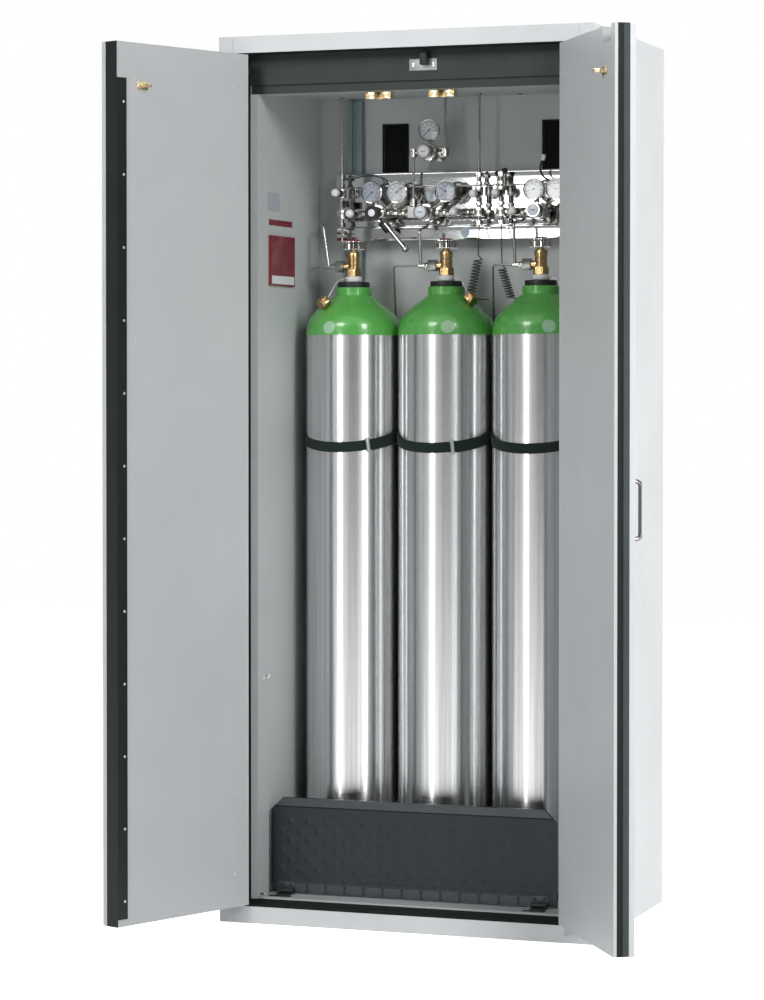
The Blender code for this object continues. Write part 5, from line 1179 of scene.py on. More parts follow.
# ---- Cylinder valves
# Forged and turned brass valves screwed into the necks: a white collar, a hex, a waist and the
# spindle housing. The outlet cap hangs beside the shoulder on a thin chain.

collar_white = coated("collar_white", (0.66, 0.67, 0.66), (0.70, 0.70, 0.68), 0.34, drift=0.08, wear=0.2)
valve_foot, outlet_z = 1.4916, 1.5281
cap_brass = metal("cap_brass", (0.50, 0.33, 0.17), (0.34, 0.22, 0.11), 0.30, swing=0.16)
cap_turns = (radians(238), radians(-25), radians(-25))
cap_reaches, cap_drops = (0.089, 0.078, 0.078), (0.050, 0.044, 0.044)


def chain_links(points, wire):
    """Small oval links, each turned a quarter from the last, along a route."""
    points = [Vector(point) for point in points]
    lengths = [(b - a).length for a, b in zip(points, points[1:])]
    count = int(sum(lengths) / (wire * 4.4))
    forms, side = [], None
    for number in range(count):
        left = sum(lengths) * (number + 0.5) / count
        for index, length in enumerate(lengths):
            if left <= length:
                break
            left -= length
        ahead = (points[index + 1] - points[index]).normalized()
        place = points[index] + ahead * left
        side = ahead.orthogonal() if side is None else side - ahead * side.dot(ahead)
        side = side.normalized()
        across = side if number % 2 else ahead.cross(side)
        ring = [
            place + ahead * cos(tau * step / 10) * wire * 2.9 + across * sin(tau * step / 10) * wire * 1.7
            for step in range(11)
        ]
        forms.append((tubed(ring, wire * 0.62, 6), bright_screw))
    return forms


for number, x in enumerate(column_x):
    at = Vector((x, column_y, 0))
    lower = [
        (0, 1.4918), (0.0185, 1.4918), (0.0198, 1.4926), (0.0200, 1.4945), (0.0200, 1.5010), (0.0192, 1.5030),
        (0.0165, 1.5049), (0, 1.5049),
    ]
    hexed = [(0, 1.5050), (0.0172, 1.5050), (0.0190, 1.5064), (0.0190, 1.5205), (0.0172, 1.5221), (0, 1.5221)]
    waist = [
        (0, 1.5215), (0.0150, 1.5215), (0.0150, 1.5296), (0.0138, 1.5304), (0.0138, 1.5330), (0.0147, 1.5338),
        (0.0147, 1.5428), (0.0136, 1.5436), (0.0136, 1.5454), (0.0152, 1.5464), (0.0154, 1.5480),
        (0.0154, 1.5586), (0.0138, 1.5622), (0.0110, 1.5632), (0.0082, 1.5636), (0.0080, 1.5671), (0, 1.5671),
    ]
    outlet = [(0, 0.004), (0.0105, 0.004), (0.0105, 0.0135), (0.0085, 0.0145), (0.0085, 0.0229), (0, 0.0229)]
    forms = [
        (turned(lower, at), collar_white),
        (turned(hexed, at, segments=72, flats=(6, 0.0165)), brass),
        (turned(waist, at), brass),
        (turned(outlet, at + Vector((0, 0, outlet_z)), (-1, 0, 0), 36), brass),
    ]
    out = Vector((cos(cap_turns[number]), sin(cap_turns[number]), 0))
    slope = (out * 0.8 - Vector((0, 0, 0.6))).normalized()
    centre = at + out * cap_reaches[number] + Vector((0, 0, valve_foot - cap_drops[number]))
    cap = [
        (0, -0.0120), (0.0075, -0.0120), (0.0075, -0.0106), (0.0130, -0.0102), (0.0149, -0.0088),
        (0.0149, 0.0038), (0.0135, 0.0050), (0.0135, 0.0108), (0.0122, 0.0122), (0, 0.0122),
    ]
    forms.append((turned(cap, centre, slope, 48, (6, 0.0132)), cap_brass))
    nipple = [(0, -0.0118), (0.0034, -0.0118), (0.0034, -0.0140), (0.0022, -0.0148), (0, -0.0148)]
    forms.append((turned(nipple, centre, slope, 20), bright_screw))
    hang = [
        at + out * 0.0195 + Vector((0, 0, 1.4997)),
        at + out * 0.0475 + Vector((0, 0, 1.4950)),
        at + out * 0.0650 + Vector((0, 0, 1.4700)),
        centre - slope * 0.0138,
    ]
    forms += chain_links(rounded(hang, 0.010), 0.00075)
    piece(f"brass_valve_{number + 1}", "cabinet", forms, (f"cylinder_valve_{number + 1}",))

# ---- Handwheels
# Chromed handwheels with six shallow lobes, ribbed for grip, and a red cap in the middle. Each one
# turns on the spindle of its cylinder valve.

wheel_foot, wheel_radius, lobe_depth, rib_depth, ribs = 1.5674, 0.0288, 0.0014, 0.0017, 32
levels = [
    (0.60, 0.0), (0.955, 0.0), (0.99, 0.0010), (1.0, 0.0024), (1.0, 0.0186),
    (0.99, 0.0200), (0.955, 0.0210), (0.72, 0.0210), (0.60, 0.0190),
]
rim = []
for step in range(ribs * 4):
    angle = tau * step / (ribs * 4)
    groove = rib_depth * max(0.0, cos(angle * ribs) - 0.1)
    rim.append((angle, wheel_radius - lobe_depth * (1 - cos(6 * angle)) - groove))
wheel_points = [
    Vector((radius * share * cos(angle), radius * share * sin(angle), height))
    for share, height in levels
    for angle, radius in rim
]
wheel_cap = [
    (0, 0.0185), (0.0158, 0.0185), (0.0160, 0.0200), (0.0160, 0.0230),
    (0.0148, 0.0243), (0.0080, 0.0249), (0, 0.0250),
]
for number, x in enumerate(column_x):
    forms = [
        ((wheel_points, skin(len(wheel_points), len(rim))), chrome),
        (turned(wheel_cap, (0, 0, 0), segments=48), red_plastic),
    ]
    wheel = f"handwheel_{number + 1}"
    piece(f"chrome_{wheel}", wheel, forms, (wheel,), (x, column_y, wheel_foot))

# ---- Straps
# Dark woven polyester straps, 24 mm wide, pulled from the wall rail round each cylinder and
# closed with a dull zinc buckle. The free end lies doubled on the strap beyond the buckle.


def woven_effect():
    """Ribbed webbing: fine crosswise ribs and rows of thread, by length and by width."""
    takes = {"Colour": (0.02, 0.03, 0.03, 1), "Rib": 0.0011}
    group, takes, gives = effect("webbing_weave", takes, {"Colour": "Color", "Height": "Float"})
    place = node(group, "TexCoord").outputs["UV"]
    split = node(group, "SeparateXYZ", {0: place}).outputs
    ribs_by_length = maths(group, "MULTIPLY", maths(group, "DIVIDE", split["X"], takes["Rib"]), tau)
    wave = maths(group, "SINE", ribs_by_length)
    cross = maths(group, "SINE", maths(group, "MULTIPLY", split["Y"], 4200.0))
    both = maths(group, "MULTIPLY", wave, cross)
    fluff = noise(group, place, 900.0, 3.0)
    colour = dimmed(group, takes["Colour"], ranged(group, both, -1.0, 1.0, 0.65, 1.3))
    feed(group, gives, {"Colour": colour, "Height": maths(group, "ADD", both, fluff)})
    return group


matt_cloth = {"Roughness": 0.85, "Specular IOR Level": 0.2, "Sheen Weight": 0.04, "Sheen Roughness": 0.5}
webbing, tree, shader = new_finish("webbing", matt_cloth)
thread = {"Colour": (0.010, 0.020, 0.015, 1), "Rib": 0.0011}
weave = node(tree, "Group", thread, node_tree=woven_effect()).outputs
bump = node(tree, "Bump", {"Height": weave["Height"], "Strength": 0.6, "Distance": 0.00022}).outputs[0]
feed(tree, shader, {"Base Color": weave["Colour"], "Normal": bump})

strap_width, strap_thickness, rail_face = 0.024, 0.0014, 0.1215
strap_gap, strap_front, strap_slope = 0.0003, 1.1003, 0.262
strap_middle = shell + strap_gap + strap_thickness / 2


def strap_centre(y):
    """Height of the strap's middle: it climbs towards the rail."""
    return strap_front + (y - (column_y - shell)) * strap_slope


def strap_route(steps=96):
    """The strap's middle line in plan, from the rail on the left round the front to the right."""
    route = [(-strap_middle, rail_face - (rail_face - column_y) * step / 12) for step in range(12)]
    route += [
        (strap_middle * cos(pi + pi * step / steps), column_y + strap_middle * sin(pi + pi * step / steps))
        for step in range(steps + 1)
    ]
    return route + [(strap_middle, column_y + (rail_face - column_y) * (step + 1) / 12) for step in range(12)]


def band(route, rows, thickness, name):
    """A strap's mesh with its length and width as its own coordinates."""
    count = len(route)
    mesh = bpy.data.meshes.new(name)
    points, spots, run, last = [], [], 0.0, None
    for number, (x, y) in enumerate(route):
        x0, y0 = route[max(number - 1, 0)]
        x1, y1 = route[min(number + 1, count - 1)]
        ahead = Vector((x1 - x0, y1 - y0, 0)).normalized()
        out = Vector((ahead.y, -ahead.x, 0))
        here = Vector((x, y, strap_centre(y)))
        if last is not None:
            run += (here - last).length
        last = here
        for side in (-1, 1):
            for row in range(rows + 1):
                share = row / rows - 0.5
                rim = thickness / 2 * (1.0 if abs(share) < 0.46 else 0.62)
                points.append(Vector((x, y, strap_centre(y) + share * strap_width)) + out * side * rim)
                spots.append((run, share * strap_width))
    faces = []
    width = rows + 1
    ring = 2 * width
    for number in range(count - 1):
        a = number * ring
        for row in range(rows):
            faces.append((a + row, a + row + 1, a + ring + row + 1, a + ring + row))
            b = a + width + row
            faces.append((b, b + ring, b + ring + 1, b + 1))
        faces.append((a, a + ring, a + ring + width, a + width))
        faces.append((a + rows, a + width + rows, a + ring + width + rows, a + ring + rows))
    for a in (0, (count - 1) * ring):
        faces += [(a + row, a + width + row, a + width + row + 1, a + row + 1) for row in range(rows)]
    mesh.from_pydata(points, [], faces)
    layer = mesh.uv_layers.new(name="along")
    for loop in mesh.loops:
        layer.data[loop.index].uv = spots[loop.vertex_index]
    bm = bmesh.new()
    bm.from_mesh(mesh)
    bmesh.ops.recalc_face_normals(bm, faces=bm.faces)
    bm.to_mesh(mesh)
    bm.free()
    mesh.materials.append(webbing)
    mesh.shade_smooth()
    mesh.set_sharp_from_angle(angle=radians(40))
    return mesh, run


def strap_piece(name, mesh, place):
    """A length of strap on the cabinet."""
    made = bpy.data.objects.new(name, mesh)
    made.location = place
    scene.collection.objects.link(made)
    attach(made, "cabinet")
    return made


buckle_zinc = coated(
    "buckle_zinc",
    (0.30, 0.35, 0.33),
    (0.42, 0.46, 0.44),
    0.42,
    drift=0.08,
    wear=0.5,
    Metallic=0.5,
)
buckle_bars = [
    block((-0.0012, -0.0042, -0.0170), (0.0030, 0.0042, 0.0170), 0.0010),
    block((-0.0012, -0.0085, -0.0146), (0.0004, 0.0085, -0.0126), 0.0006),
    block((-0.0012, -0.0085, 0.0126), (0.0004, 0.0085, 0.0146), 0.0006),
]
for number, (x, buckle_angle) in enumerate(zip(column_x, (-53.3, -64.6, -42.0))):
    angle = radians(buckle_angle)
    out = Vector((cos(angle), sin(angle), 0))
    place = Vector((x, column_y, 0)) + out * (shell + strap_gap + strap_thickness + 0.0010)
    place.z = strap_centre(place.y)
    turn = out.to_track_quat("X", "Z")
    lean = Matrix.Rotation(strap_slope * cos(angle), 3, "X")
    bars = [
        (([place + turn @ (lean @ point) for point in points], faces), buckle_zinc)
        for points, faces in buckle_bars
    ]
    buckle = piece(f"strap_buckle_{number + 1}", "cabinet", bars)
    over = strap_middle + strap_thickness
    turns = [angle + 0.03 + step * 0.045 for step in range(19)]
    arc = [(over * cos(turn), column_y + over * sin(turn)) for turn in turns]
    free_end, _ = band(arc, 6, strap_thickness, f"strap_free_end_{number + 1}")
    doubled = strap_piece(f"strap_free_end_{number + 1}", free_end, (x, 0, -0.0026))
    mesh, run = band(strap_route(), 6, strap_thickness, f"strap_band_{number + 1}")
    strap = strap_piece(f"strap_band_{number + 1}", mesh, (x, 0, 0))
    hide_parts(f"strap_{number + 1}")

# ---- Gas stations
# Each station is a row of chromed brass fittings on the panel: a stack of blocks and nuts, a bar
# to a regulator that faces forward, shut-off valves with dark housings, and pressure gauges.

line_y, knob_row, gauge_row, riser_end = 0.070, 1.656, 1.706, 1.9377
bar, large_gauge, small_gauge, panel_seat = 0.0085, 0.0245, 0.015, 0.1087
black_part = coated(
    "fitting_black",
    (0.010, 0.011, 0.011),
    (0.05, 0.05, 0.05),
    0.34,
    drift=0.1,
    wear=0.3,
    Specular_IOR_Level=0.3,
)
satin_chrome = metal("satin_chrome", (0.46, 0.45, 0.42), (0.36, 0.35, 0.33), 0.16, swing=0.08)
dial_white = coated("dial_white", (0.74, 0.77, 0.80), (0.74, 0.77, 0.80), 0.35, drift=0.02, wear=0.0)
dial_blue = coated("dial_blue", (0.42, 0.47, 0.55), (0.42, 0.47, 0.55), 0.35, drift=0.04, wear=0.0)
dial_black = coated("dial_black", (0.02, 0.02, 0.022), (0.04, 0.04, 0.04), 0.5, wear=0.0)
clear = {"Base Color": (1, 1, 1, 1), "Roughness": 0.02, "IOR": 1.46, "Transmission Weight": 1.0}
lens, tree, shader = new_finish("gauge_lens", clear)
smear = noise(tree, node(tree, "TexCoord").outputs["Object"], 90.0, 4.0)
feed(tree, shader, {"Roughness": ranged(tree, smear, 0.3, 0.8, 0.01, 0.09)})
stainless_tube = metal(
    "tube_steel", (0.42, 0.42, 0.39), (0.32, 0.32, 0.30), 0.26, grain=(400.0, 400.0, 30.0), swing=0.10
)


def on_line(x, z=knob_row):
    """A point on the stations' common line."""
    return x, line_y, z


def nut(place, along, half_width, length, centre=True, finish=None, sides=6):
    """Hex nut with its corners turned off."""
    start = -length / 2 if centre else 0.0
    corner = half_width / cos(pi / sides)
    trim = (corner - half_width) * 0.75
    end, edge = start + length, trim * 0.6
    profile = [
        (0, start), (corner - trim, start), (corner, start + edge),
        (corner, end - edge), (corner - trim, end), (0, end),
    ]
    return turned(profile, place, along, sides * 8, (sides, half_width)), finish or satin_chrome


def stub(place, along, radius, length, finish=None, lip=0.0006, segments=32):
    """Short turned part with chamfered ends."""
    profile = [
        (0, 0), (radius - lip, 0), (radius, lip), (radius, length - lip), (radius - lip, length), (0, length),
    ]
    return turned(profile, place, along, segments), finish or satin_chrome


def pressure_gauge(x, z, radius, needle, dial=None):
    """Gauge that faces forward: case, rolled bezel, dial with scale, needle, and a flat lens."""
    depth = 0.020 if radius > 0.02 else 0.019
    r = radius * 1.07
    case = [
        (0, 0), (r * 0.55, 0), (r * 0.80, 0.0008), (r * 0.90, 0.0030), (r * 0.92, 0.0120), (r * 0.99, 0.0128),
        (r, 0.0140), (r, depth - 0.0018), (r * 0.985, depth - 0.0005), (r * 0.955, depth),
        (r * 0.915, depth - 0.0003), (r * 0.895, depth - 0.0016), (r * 0.890, depth - 0.0042),
        (0, depth - 0.0042),
    ]
    place = Vector((x, line_y - 0.010, z))
    face = place + Vector((0, -(depth - 0.0041), 0))
    mark_y, mark_half = face.y - 0.0003, 0.00012

    def stroke(angle, inner, outer, half_width, lift=0.0):
        """A printed stroke on the dial, from one distance to another."""
        way = Vector((sin(angle), 0, cos(angle)))
        across = Vector((way.z, 0, -way.x))
        middle = Vector((x, mark_y - lift - mark_half, z))
        corners = [
            middle + way * a + across * b * half_width + Vector((0, c * mark_half, 0))
            for c in (1, -1)
            for a, b in ((inner, -1), (outer, -1), (outer, 1), (inner, 1))
        ]
        return (corners, slab_faces), dial_black

    disc = [(0, 0), (r * 0.885, 0), (r * 0.885, 0.0003), (0, 0.0003)]
    circle = [(r * 0.79, 0), (r * 0.815, 0), (r * 0.815, 0.0002), (r * 0.79, 0.0002), (r * 0.79, 0)]
    hub = [(0, 0), (r * 0.09, 0), (r * 0.08, 0.0008), (0, 0.0010)]
    glass = [(0, 0), (r * 0.892, 0), (r * 0.892, 0.0008), (r * 0.60, 0.0011), (0, 0.0012)]
    forms = [(turned(case, place, forward, 64), chrome), (turned(disc, face, forward, 64), dial or dial_white)]
    for step in range(29):
        long_mark = step % 4 == 0
        angle = radians(-135 + 270 * step / 28)
        forms.append(
            stroke(angle, r * (0.62 if long_mark else 0.69), r * 0.78, r * (0.026 if long_mark else 0.013))
        )
        if long_mark:
            forms += [stroke(angle + turn, r * 0.44, r * 0.54, r * 0.020) for turn in (-0.09, 0.09)]
    forms.append((turned(circle, (x, mark_y, z), forward, 64), dial_black))
    forms.append(stroke(radians(needle), -r * 0.22, r * 0.66, r * 0.026, 0.0006))
    forms.append((turned(hub, (x, mark_y - 0.0004, z), forward, 20), dial_black))
    forms.append((turned(glass, place + Vector((0, -(depth - 0.0017), 0)), forward, 48), lens))
    return forms


def gauge_stem(x, z, radius, root):
    """Threaded stem with a hex, from the gauge's foot to its root."""
    start = Vector((x, line_y - 0.018, z - radius / 2))
    end = Vector(root)
    along = (end - start).normalized()
    length = (end - start).length
    forms = [(tubed([start, end], 0.0050, 20), satin_chrome)]
    forms.append(nut(start + along * (radius * 0.5 + 0.004), along, 0.0062, 0.0080))
    forms.append(nut(start + along * (length * 0.72), along, 0.0056, 0.0060))
    return forms


def regulator(x, z, ring=None):
    """Regulator: round body with a flange and screws, and a stepped bonnet towards the knob."""
    back = line_y + 0.010
    body = [
        (0, 0), (0.0150, 0), (0.0200, 0.0016), (0.0210, 0.0032), (0.0210, 0.0118), (0.0203, 0.0124),
        (0.0203, 0.0136), (0.0210, 0.0142), (0.0210, 0.0272), (0.0198, 0.0296), (0.0172, 0.0300),
        (0.0170, 0.0330), (0.0150, 0.0344), (0.0142, 0.0400), (0.0124, 0.0412), (0.0112, 0.0458),
        (0.0102, 0.0460), (0, 0.0460),
    ]
    forms = [(turned(body, (x, back, z), forward, 64), ring or chrome)]
    bolt = [(0, 0), (0.0017, 0), (0.0018, 0.0010), (0.0014, 0.0016), (0, 0.0016)]
    for step in range(6):
        angle = tau * step / 6 + 0.4
        spot = (x + 0.0182 * cos(angle), back - 0.0298, z + 0.0182 * sin(angle))
        forms.append((turned(bolt, spot, forward, 12), bright_screw))
    forms.append(nut((x, back - 0.0374, z), forward, 0.0146, 0.0040))
    return forms


def valve_housing(x, z, body=None):
    """Shut-off valve: a chromed hex on the line, a dark cap in front of it and a packing nut."""
    cap_back, cap_front, nut_front = 0.0130, 0.0230, 0.0295
    return [
        nut(on_line(x, z), forward, 0.0082, 0.0135, False),
        stub((x, line_y - cap_back, z), forward, 0.0085, 0.0100, body or black_part),
        nut((x, line_y - cap_front, z), forward, 0.0064, nut_front - cap_front, False),
    ]


def pipe_run(start, end, radius, nuts=(), nut_half=0.0100):
    """A bar between two fittings with hex nuts and thin collars on it."""
    start, end = Vector(start), Vector(end)
    along = (end - start).normalized()
    length = (end - start).length
    forms = [(tubed([start, end], radius * 0.80, 28), chrome)]
    collar = [(0, 0), (radius, 0), (radius, 0.0020), (0, 0.0020)]
    for share in nuts:
        place = start + along * length * share
        forms.append(nut(place, along, nut_half * 0.92, 0.0095))
        forms += [
            (turned(collar, place + along * shift, along, 28), satin_chrome)
            for shift in (0.0062, -0.0082)
        ]
    return forms


def square_block(x, z, half_width, bevel):
    """A drilled block on the line, 21 mm high."""
    low = (x - half_width, line_y - half_width, z - 0.0105)
    high = (x + half_width, line_y + half_width, z + 0.0105)
    return block(low, high, bevel), satin_chrome


def valve_stack(x, riser_top):
    """Upright line: lower nut, square block, upper block, top nut, and the riser above it."""
    forms = [
        (tubed([on_line(x, 1.6262), on_line(x, 1.7520)], 0.0055, 24), chrome),
        nut(on_line(x, 1.6310), upward, 0.0084, 0.0105),
        square_block(x, knob_row, 0.0105, 0.0012),
        nut(on_line(x, 1.6765), upward, 0.0078, 0.0080),
        stub(on_line(x, 1.6815), upward, 0.0070, 0.0110),
        square_block(x, gauge_row, 0.0084, 0.0010),
        nut(on_line(x, 1.7245), upward, 0.0074, 0.0080),
        stub(on_line(x, 1.7300), upward, 0.0062, 0.0080, chrome),
        nut(on_line(x, 1.7448), upward, 0.0086, 0.0114),
    ]
    if riser_top:
        forms.append((tubed([on_line(x, 1.7400), on_line(x, riser_top)], 0.0030, 16), stainless_tube))
        forms.append(stub(on_line(x, 1.7508), upward, 0.0052, 0.0060))
        forms.append(stub(on_line(x, riser_top - 0.0040), upward, 0.0064, 0.0038, stainless_tube))
    return forms


def line_bar(start_x, end_x, nuts):
    """A bar along the knobs' row, with its nuts at these shares of its length."""
    return pipe_run(on_line(start_x), on_line(end_x), bar, nuts)


def set_regulator(x, finish=None):
    """A regulator on the bar, with its stub back to the panel."""
    return regulator(x, knob_row, finish) + pipe_run(on_line(x), (x, panel_seat, knob_row), bar)


def gauge_on_stem(x, z, radius, needle, regulator_x, dial=None):
    """A pressure gauge and its stem from the regulator."""
    return pressure_gauge(x, z, radius, needle, dial) + gauge_stem(x, z, radius, on_line(regulator_x))


left_x, left_regulator, line_block = -0.286, -0.190, -0.104
forms = valve_stack(left_x, riser_end)
forms += line_bar(left_x, left_regulator, (0.22, 0.50, 0.72))
forms += line_bar(left_regulator, line_block, (0.38, 0.62, 0.82))
forms += set_regulator(left_regulator)
forms += valve_housing(left_x, gauge_row) + valve_housing(left_x + 0.03675, knob_row)
for x, needle, dial in ((-0.200, -128, dial_blue), (-0.137, 48, dial_white)):
    forms += gauge_on_stem(x, gauge_row, large_gauge, needle, left_regulator, dial)
white_block = block(
    (line_block - 0.01155, line_y - 0.00945, knob_row - 0.0105),
    (line_block + 0.01155, line_y + 0.00945, knob_row + 0.0147),
    0.0012,
)
forms.append((white_block, collar_white))
drain = [on_line(left_x, 1.6363), on_line(left_x, 1.588), (-0.2797, 0.0616, 1.5785), (-0.2608, 0.0364, 1.5554)]
forms.append((tubed(rounded(drain, 0.0105), 0.00275, 14), stainless_tube))
switch = block((left_x + 0.0045, line_y - 0.0130, 1.6880), (left_x + 0.0185, line_y + 0.0020, 1.6740), 0.0015)
forms.append((switch, black_part))

# The relief valve leans down from the regulator to the right, with a dark bulb beside it.
start, run = Vector((left_regulator, 0.050, knob_row)), Vector((0.083, -0.021, -0.090))
toward = run.normalized()
ferrule = [(0, 0), (0.0064, 0), (0.0068, 0.0005), (0.0068, 0.0026), (0.0064, 0.0030), (0, 0.0030)]
bulb = [
    (0, 0), (0.0060, 0), (0.0078, 0.0020), (0.0080, 0.0060), (0.0080, 0.0240),
    (0.0070, 0.0285), (0.0040, 0.0300), (0, 0.0300),
]
bulb_place = start + toward * 0.0315 - Vector((0.008, 0, 0))
forms.append((tubed([start, start + run], 0.0055, 24), chrome))
forms += [(turned(ferrule, start + run * share, toward, 28), chrome) for share in (0.30, 0.46, 0.84)]
forms.append(nut(start + run - toward * 0.0040, toward, 0.0070, 0.0080))
forms.append((turned(bulb, bulb_place, toward, 32), black_part))
tube_blue = coated("tube_blue", (0.045, 0.085, 0.13), (0.10, 0.16, 0.22), 0.32, drift=0.1, wear=0.2)
bow = [
    on_line(-0.2860, 1.7330), (-0.2760, 0.084, 1.7440), (-0.2390, 0.088, 1.7519),
    (-0.2060, 0.088, 1.7486), (-0.1870, 0.088, 1.7390), (-0.1800, 0.086, 1.7140),
]
forms.append((tubed(smooth_curve(bow, 8), 0.0018, 12), tube_blue))
piece("station_left_fittings", "cabinet", forms, ("gas_station_left",))

middle_x, middle_regulator = 0.061, -0.068
forms = valve_stack(middle_x, riser_end)
forms += line_bar(middle_regulator, middle_x, (0.27, 0.40, 0.50, 0.74, 0.86))
forms += set_regulator(middle_regulator)
forms += valve_housing(0.0127, knob_row, satin_chrome) + valve_housing(middle_x, 1.6976)
forms += gauge_on_stem(-0.015, gauge_row, large_gauge, -60, middle_regulator, dial_blue)
forms += gauge_on_stem(-0.048, 1.6955, small_gauge, 20, middle_regulator, dial_blue)
piece("station_middle_fittings", "cabinet", forms, ("gas_station_middle",))

right_x, right_regulator = 0.116, 0.211
forms = valve_stack(right_x, 0)
forms += line_bar(right_x, right_regulator, (0.24, 0.58, 0.72))
forms += set_regulator(right_regulator, satin_chrome)
forms += valve_housing(right_x, 1.6997) + valve_housing(0.158, knob_row)
for x, needle in ((0.204, -110), (0.259, 75)):
    forms += gauge_on_stem(x, gauge_row, large_gauge, needle, right_regulator)
ball = [
    (0, -0.0075), (0.0030, -0.0070), (0.0055, -0.0052), (0.0070, -0.0028), (0.0075, 0),
    (0.0072, 0.0030), (0.0058, 0.0054), (0.0034, 0.0068), (0, 0.0073),
]
for x, z in ((0.1076, 1.7465), (0.1244, 1.7528)):
    forms.append((tubed([on_line(x, gauge_row), on_line(x, z)], 0.0042, 16), satin_chrome))
    forms.append((turned(ball, on_line(x, z), upward, 32), black_part))
lead = [
    (0.2216, 0.060, 1.7790), (0.2167, 0.060, 1.7681), (0.2155, 0.060, 1.7517), (0.2216, 0.061, 1.7375),
    (0.2339, 0.063, 1.7290), (0.2480, 0.068, 1.7270), (0.2590, 0.070, 1.7260),
]
forms.append((tubed(smooth_curve(lead, 8), 0.0024, 12), black_part))
forms.append((tubed([(0.2240, 0.060, 1.7880), (0.2212, 0.060, 1.7740)], 0.0048, 12), white_plastic))
piece("station_right_fittings", "cabinet", forms, ("gas_station_right",))

# ---- Line regulator
# A second regulator higher up the wall feeds the house line: a tube comes up from the left bar,
# another goes on to the ceiling, and a large gauge stands over it.

upper_x, upper_z, gauge_x, gauge_z = -0.060, 1.800, -0.056, 1.851
forms = regulator(upper_x, upper_z) + pressure_gauge(gauge_x, gauge_z, large_gauge, -135)
gauge_back = [(0, 0), (0.0150, 0), (0.0170, 0.0020), (0.0170, 0.0140), (0, 0.0140)]
wall_flange = [(0, 0), (0.0150, 0), (0.0160, 0.0008), (0.0160, 0.0030), (0, 0.0030)]
forms.append((turned(gauge_back, (gauge_x, line_y + 0.0027, gauge_z), forward, 40), chrome))
forms.append((tubed([on_line(upper_x, upper_z), on_line(gauge_x, gauge_z)], 0.0050, 20), satin_chrome))
forms.append(nut(on_line(-0.0581, 1.8245), (0.08, 0, 1), 0.0064, 0.0080))
forms += pipe_run(on_line(upper_x, upper_z), (upper_x, 0.1487, upper_z), 0.0060)
forms.append((turned(wall_flange, (upper_x, 0.1488, upper_z), forward, 40), satin_chrome))
inlet_x, outlet_x = -0.104, -0.024
for end, low, high, sleeve in ((inlet_x, 1.673, 1.8055, -0.0145), (outlet_x, 1.7945, riser_end, 0.0095)):
    forms.append((tubed([on_line(upper_x, upper_z), on_line(end, upper_z)], 0.0048, 20), chrome))
    nut_x = (upper_x + end) / 2 + (end - upper_x) * 0.14
    forms.append(nut(on_line(nut_x, upper_z), (1, 0, 0), 0.0068, 0.0080))
    forms.append((tubed([on_line(end, low), on_line(end, high)], 0.0030, 16), stainless_tube))
    forms.append(nut(on_line(end, upper_z), upward, 0.0083, 0.0190))
    forms.append(stub(on_line(end, upper_z + sleeve), upward, 0.0054, 0.0050))
forms.append(nut(on_line(inlet_x, 1.6815), upward, 0.0083, 0.0170))
forms.append(stub(on_line(inlet_x, 1.6900), upward, 0.0054, 0.0050))
forms.append(stub(on_line(outlet_x, 1.9338), upward, 0.0064, 0.0038, stainless_tube))
piece("line_regulator_fittings", "cabinet", forms, ("line_regulator",))

# ---- Knobs
# Regulator knobs have a ribbed ring and a pale cap with a bare mark. The shut-off valves have small
# pale grips. Every knob turns on its own axis, which points forward.

blue_white = coated("pale_cap", (0.66, 0.70, 0.76), (0.70, 0.72, 0.76), 0.30, drift=0.04, wear=0.1)
knob_radius, knob_y, grip_y, knob_ribs = 0.0175, 0.0337, 0.0402, 28
levels = [
    (0.70, 0.0), (0.93, 0.0), (0.97, 0.0010), (0.97, 0.0090), (1.0, 0.0100),
    (1.0, 0.0196), (0.975, 0.0212), (0.93, 0.0220), (0.80, 0.0220), (0.78, 0.0210),
]
turn = Vector(forward).to_track_quat("Z", "Y")
knob_points = []
for share, height in levels:
    for step in range(knob_ribs * 4):
        angle = tau * step / (knob_ribs * 4)
        groove = 0.0007 * max(0.0, cos(angle * knob_ribs)) if 0.0005 < height < 0.0205 else 0
        radius = knob_radius * share - groove
        knob_points.append(turn @ Vector((radius * cos(angle), radius * sin(angle), height)))
printed_ring = [(0.0118, 0.0219), (0.0123, 0.0219), (0.0123, 0.0221), (0.0118, 0.0221), (0.0118, 0.0219)]
knobs = (
    (left_regulator, knob_row, black_part, white_plastic, 0.0085),
    (middle_regulator, knob_row, chrome, blue_white, 0.0138),
    (right_regulator, knob_row, chrome, blue_white, 0.0138),
    (upper_x, upper_z, chrome, white_plastic, 0.0138),
)
for number, (x, z, ring, cap, cap_radius) in enumerate(knobs):
    disc = [(0, 0.0208), (cap_radius, 0.0208), (cap_radius, 0.0214), (cap_radius - 0.001, 0.0219), (0, 0.0220)]
    forms = [((knob_points, skin(len(knob_points), knob_ribs * 4)), ring)]
    forms.append((turned(disc, (0, 0, 0), forward, 48), cap))
    if cap_radius > 0.01:
        forms.append((turned(printed_ring, (0, 0, 0), forward, 48), dial_black))
        forms.append((block((-0.0062, -0.0222, -0.0012), (0.0062, -0.0218, 0.0006), 0.0001, 1), dial_black))
    knob = f"regulator_knob_{number + 1}"
    piece(f"ribbed_knob_{number + 1}", knob, forms, (knob,), (x, knob_y, z))

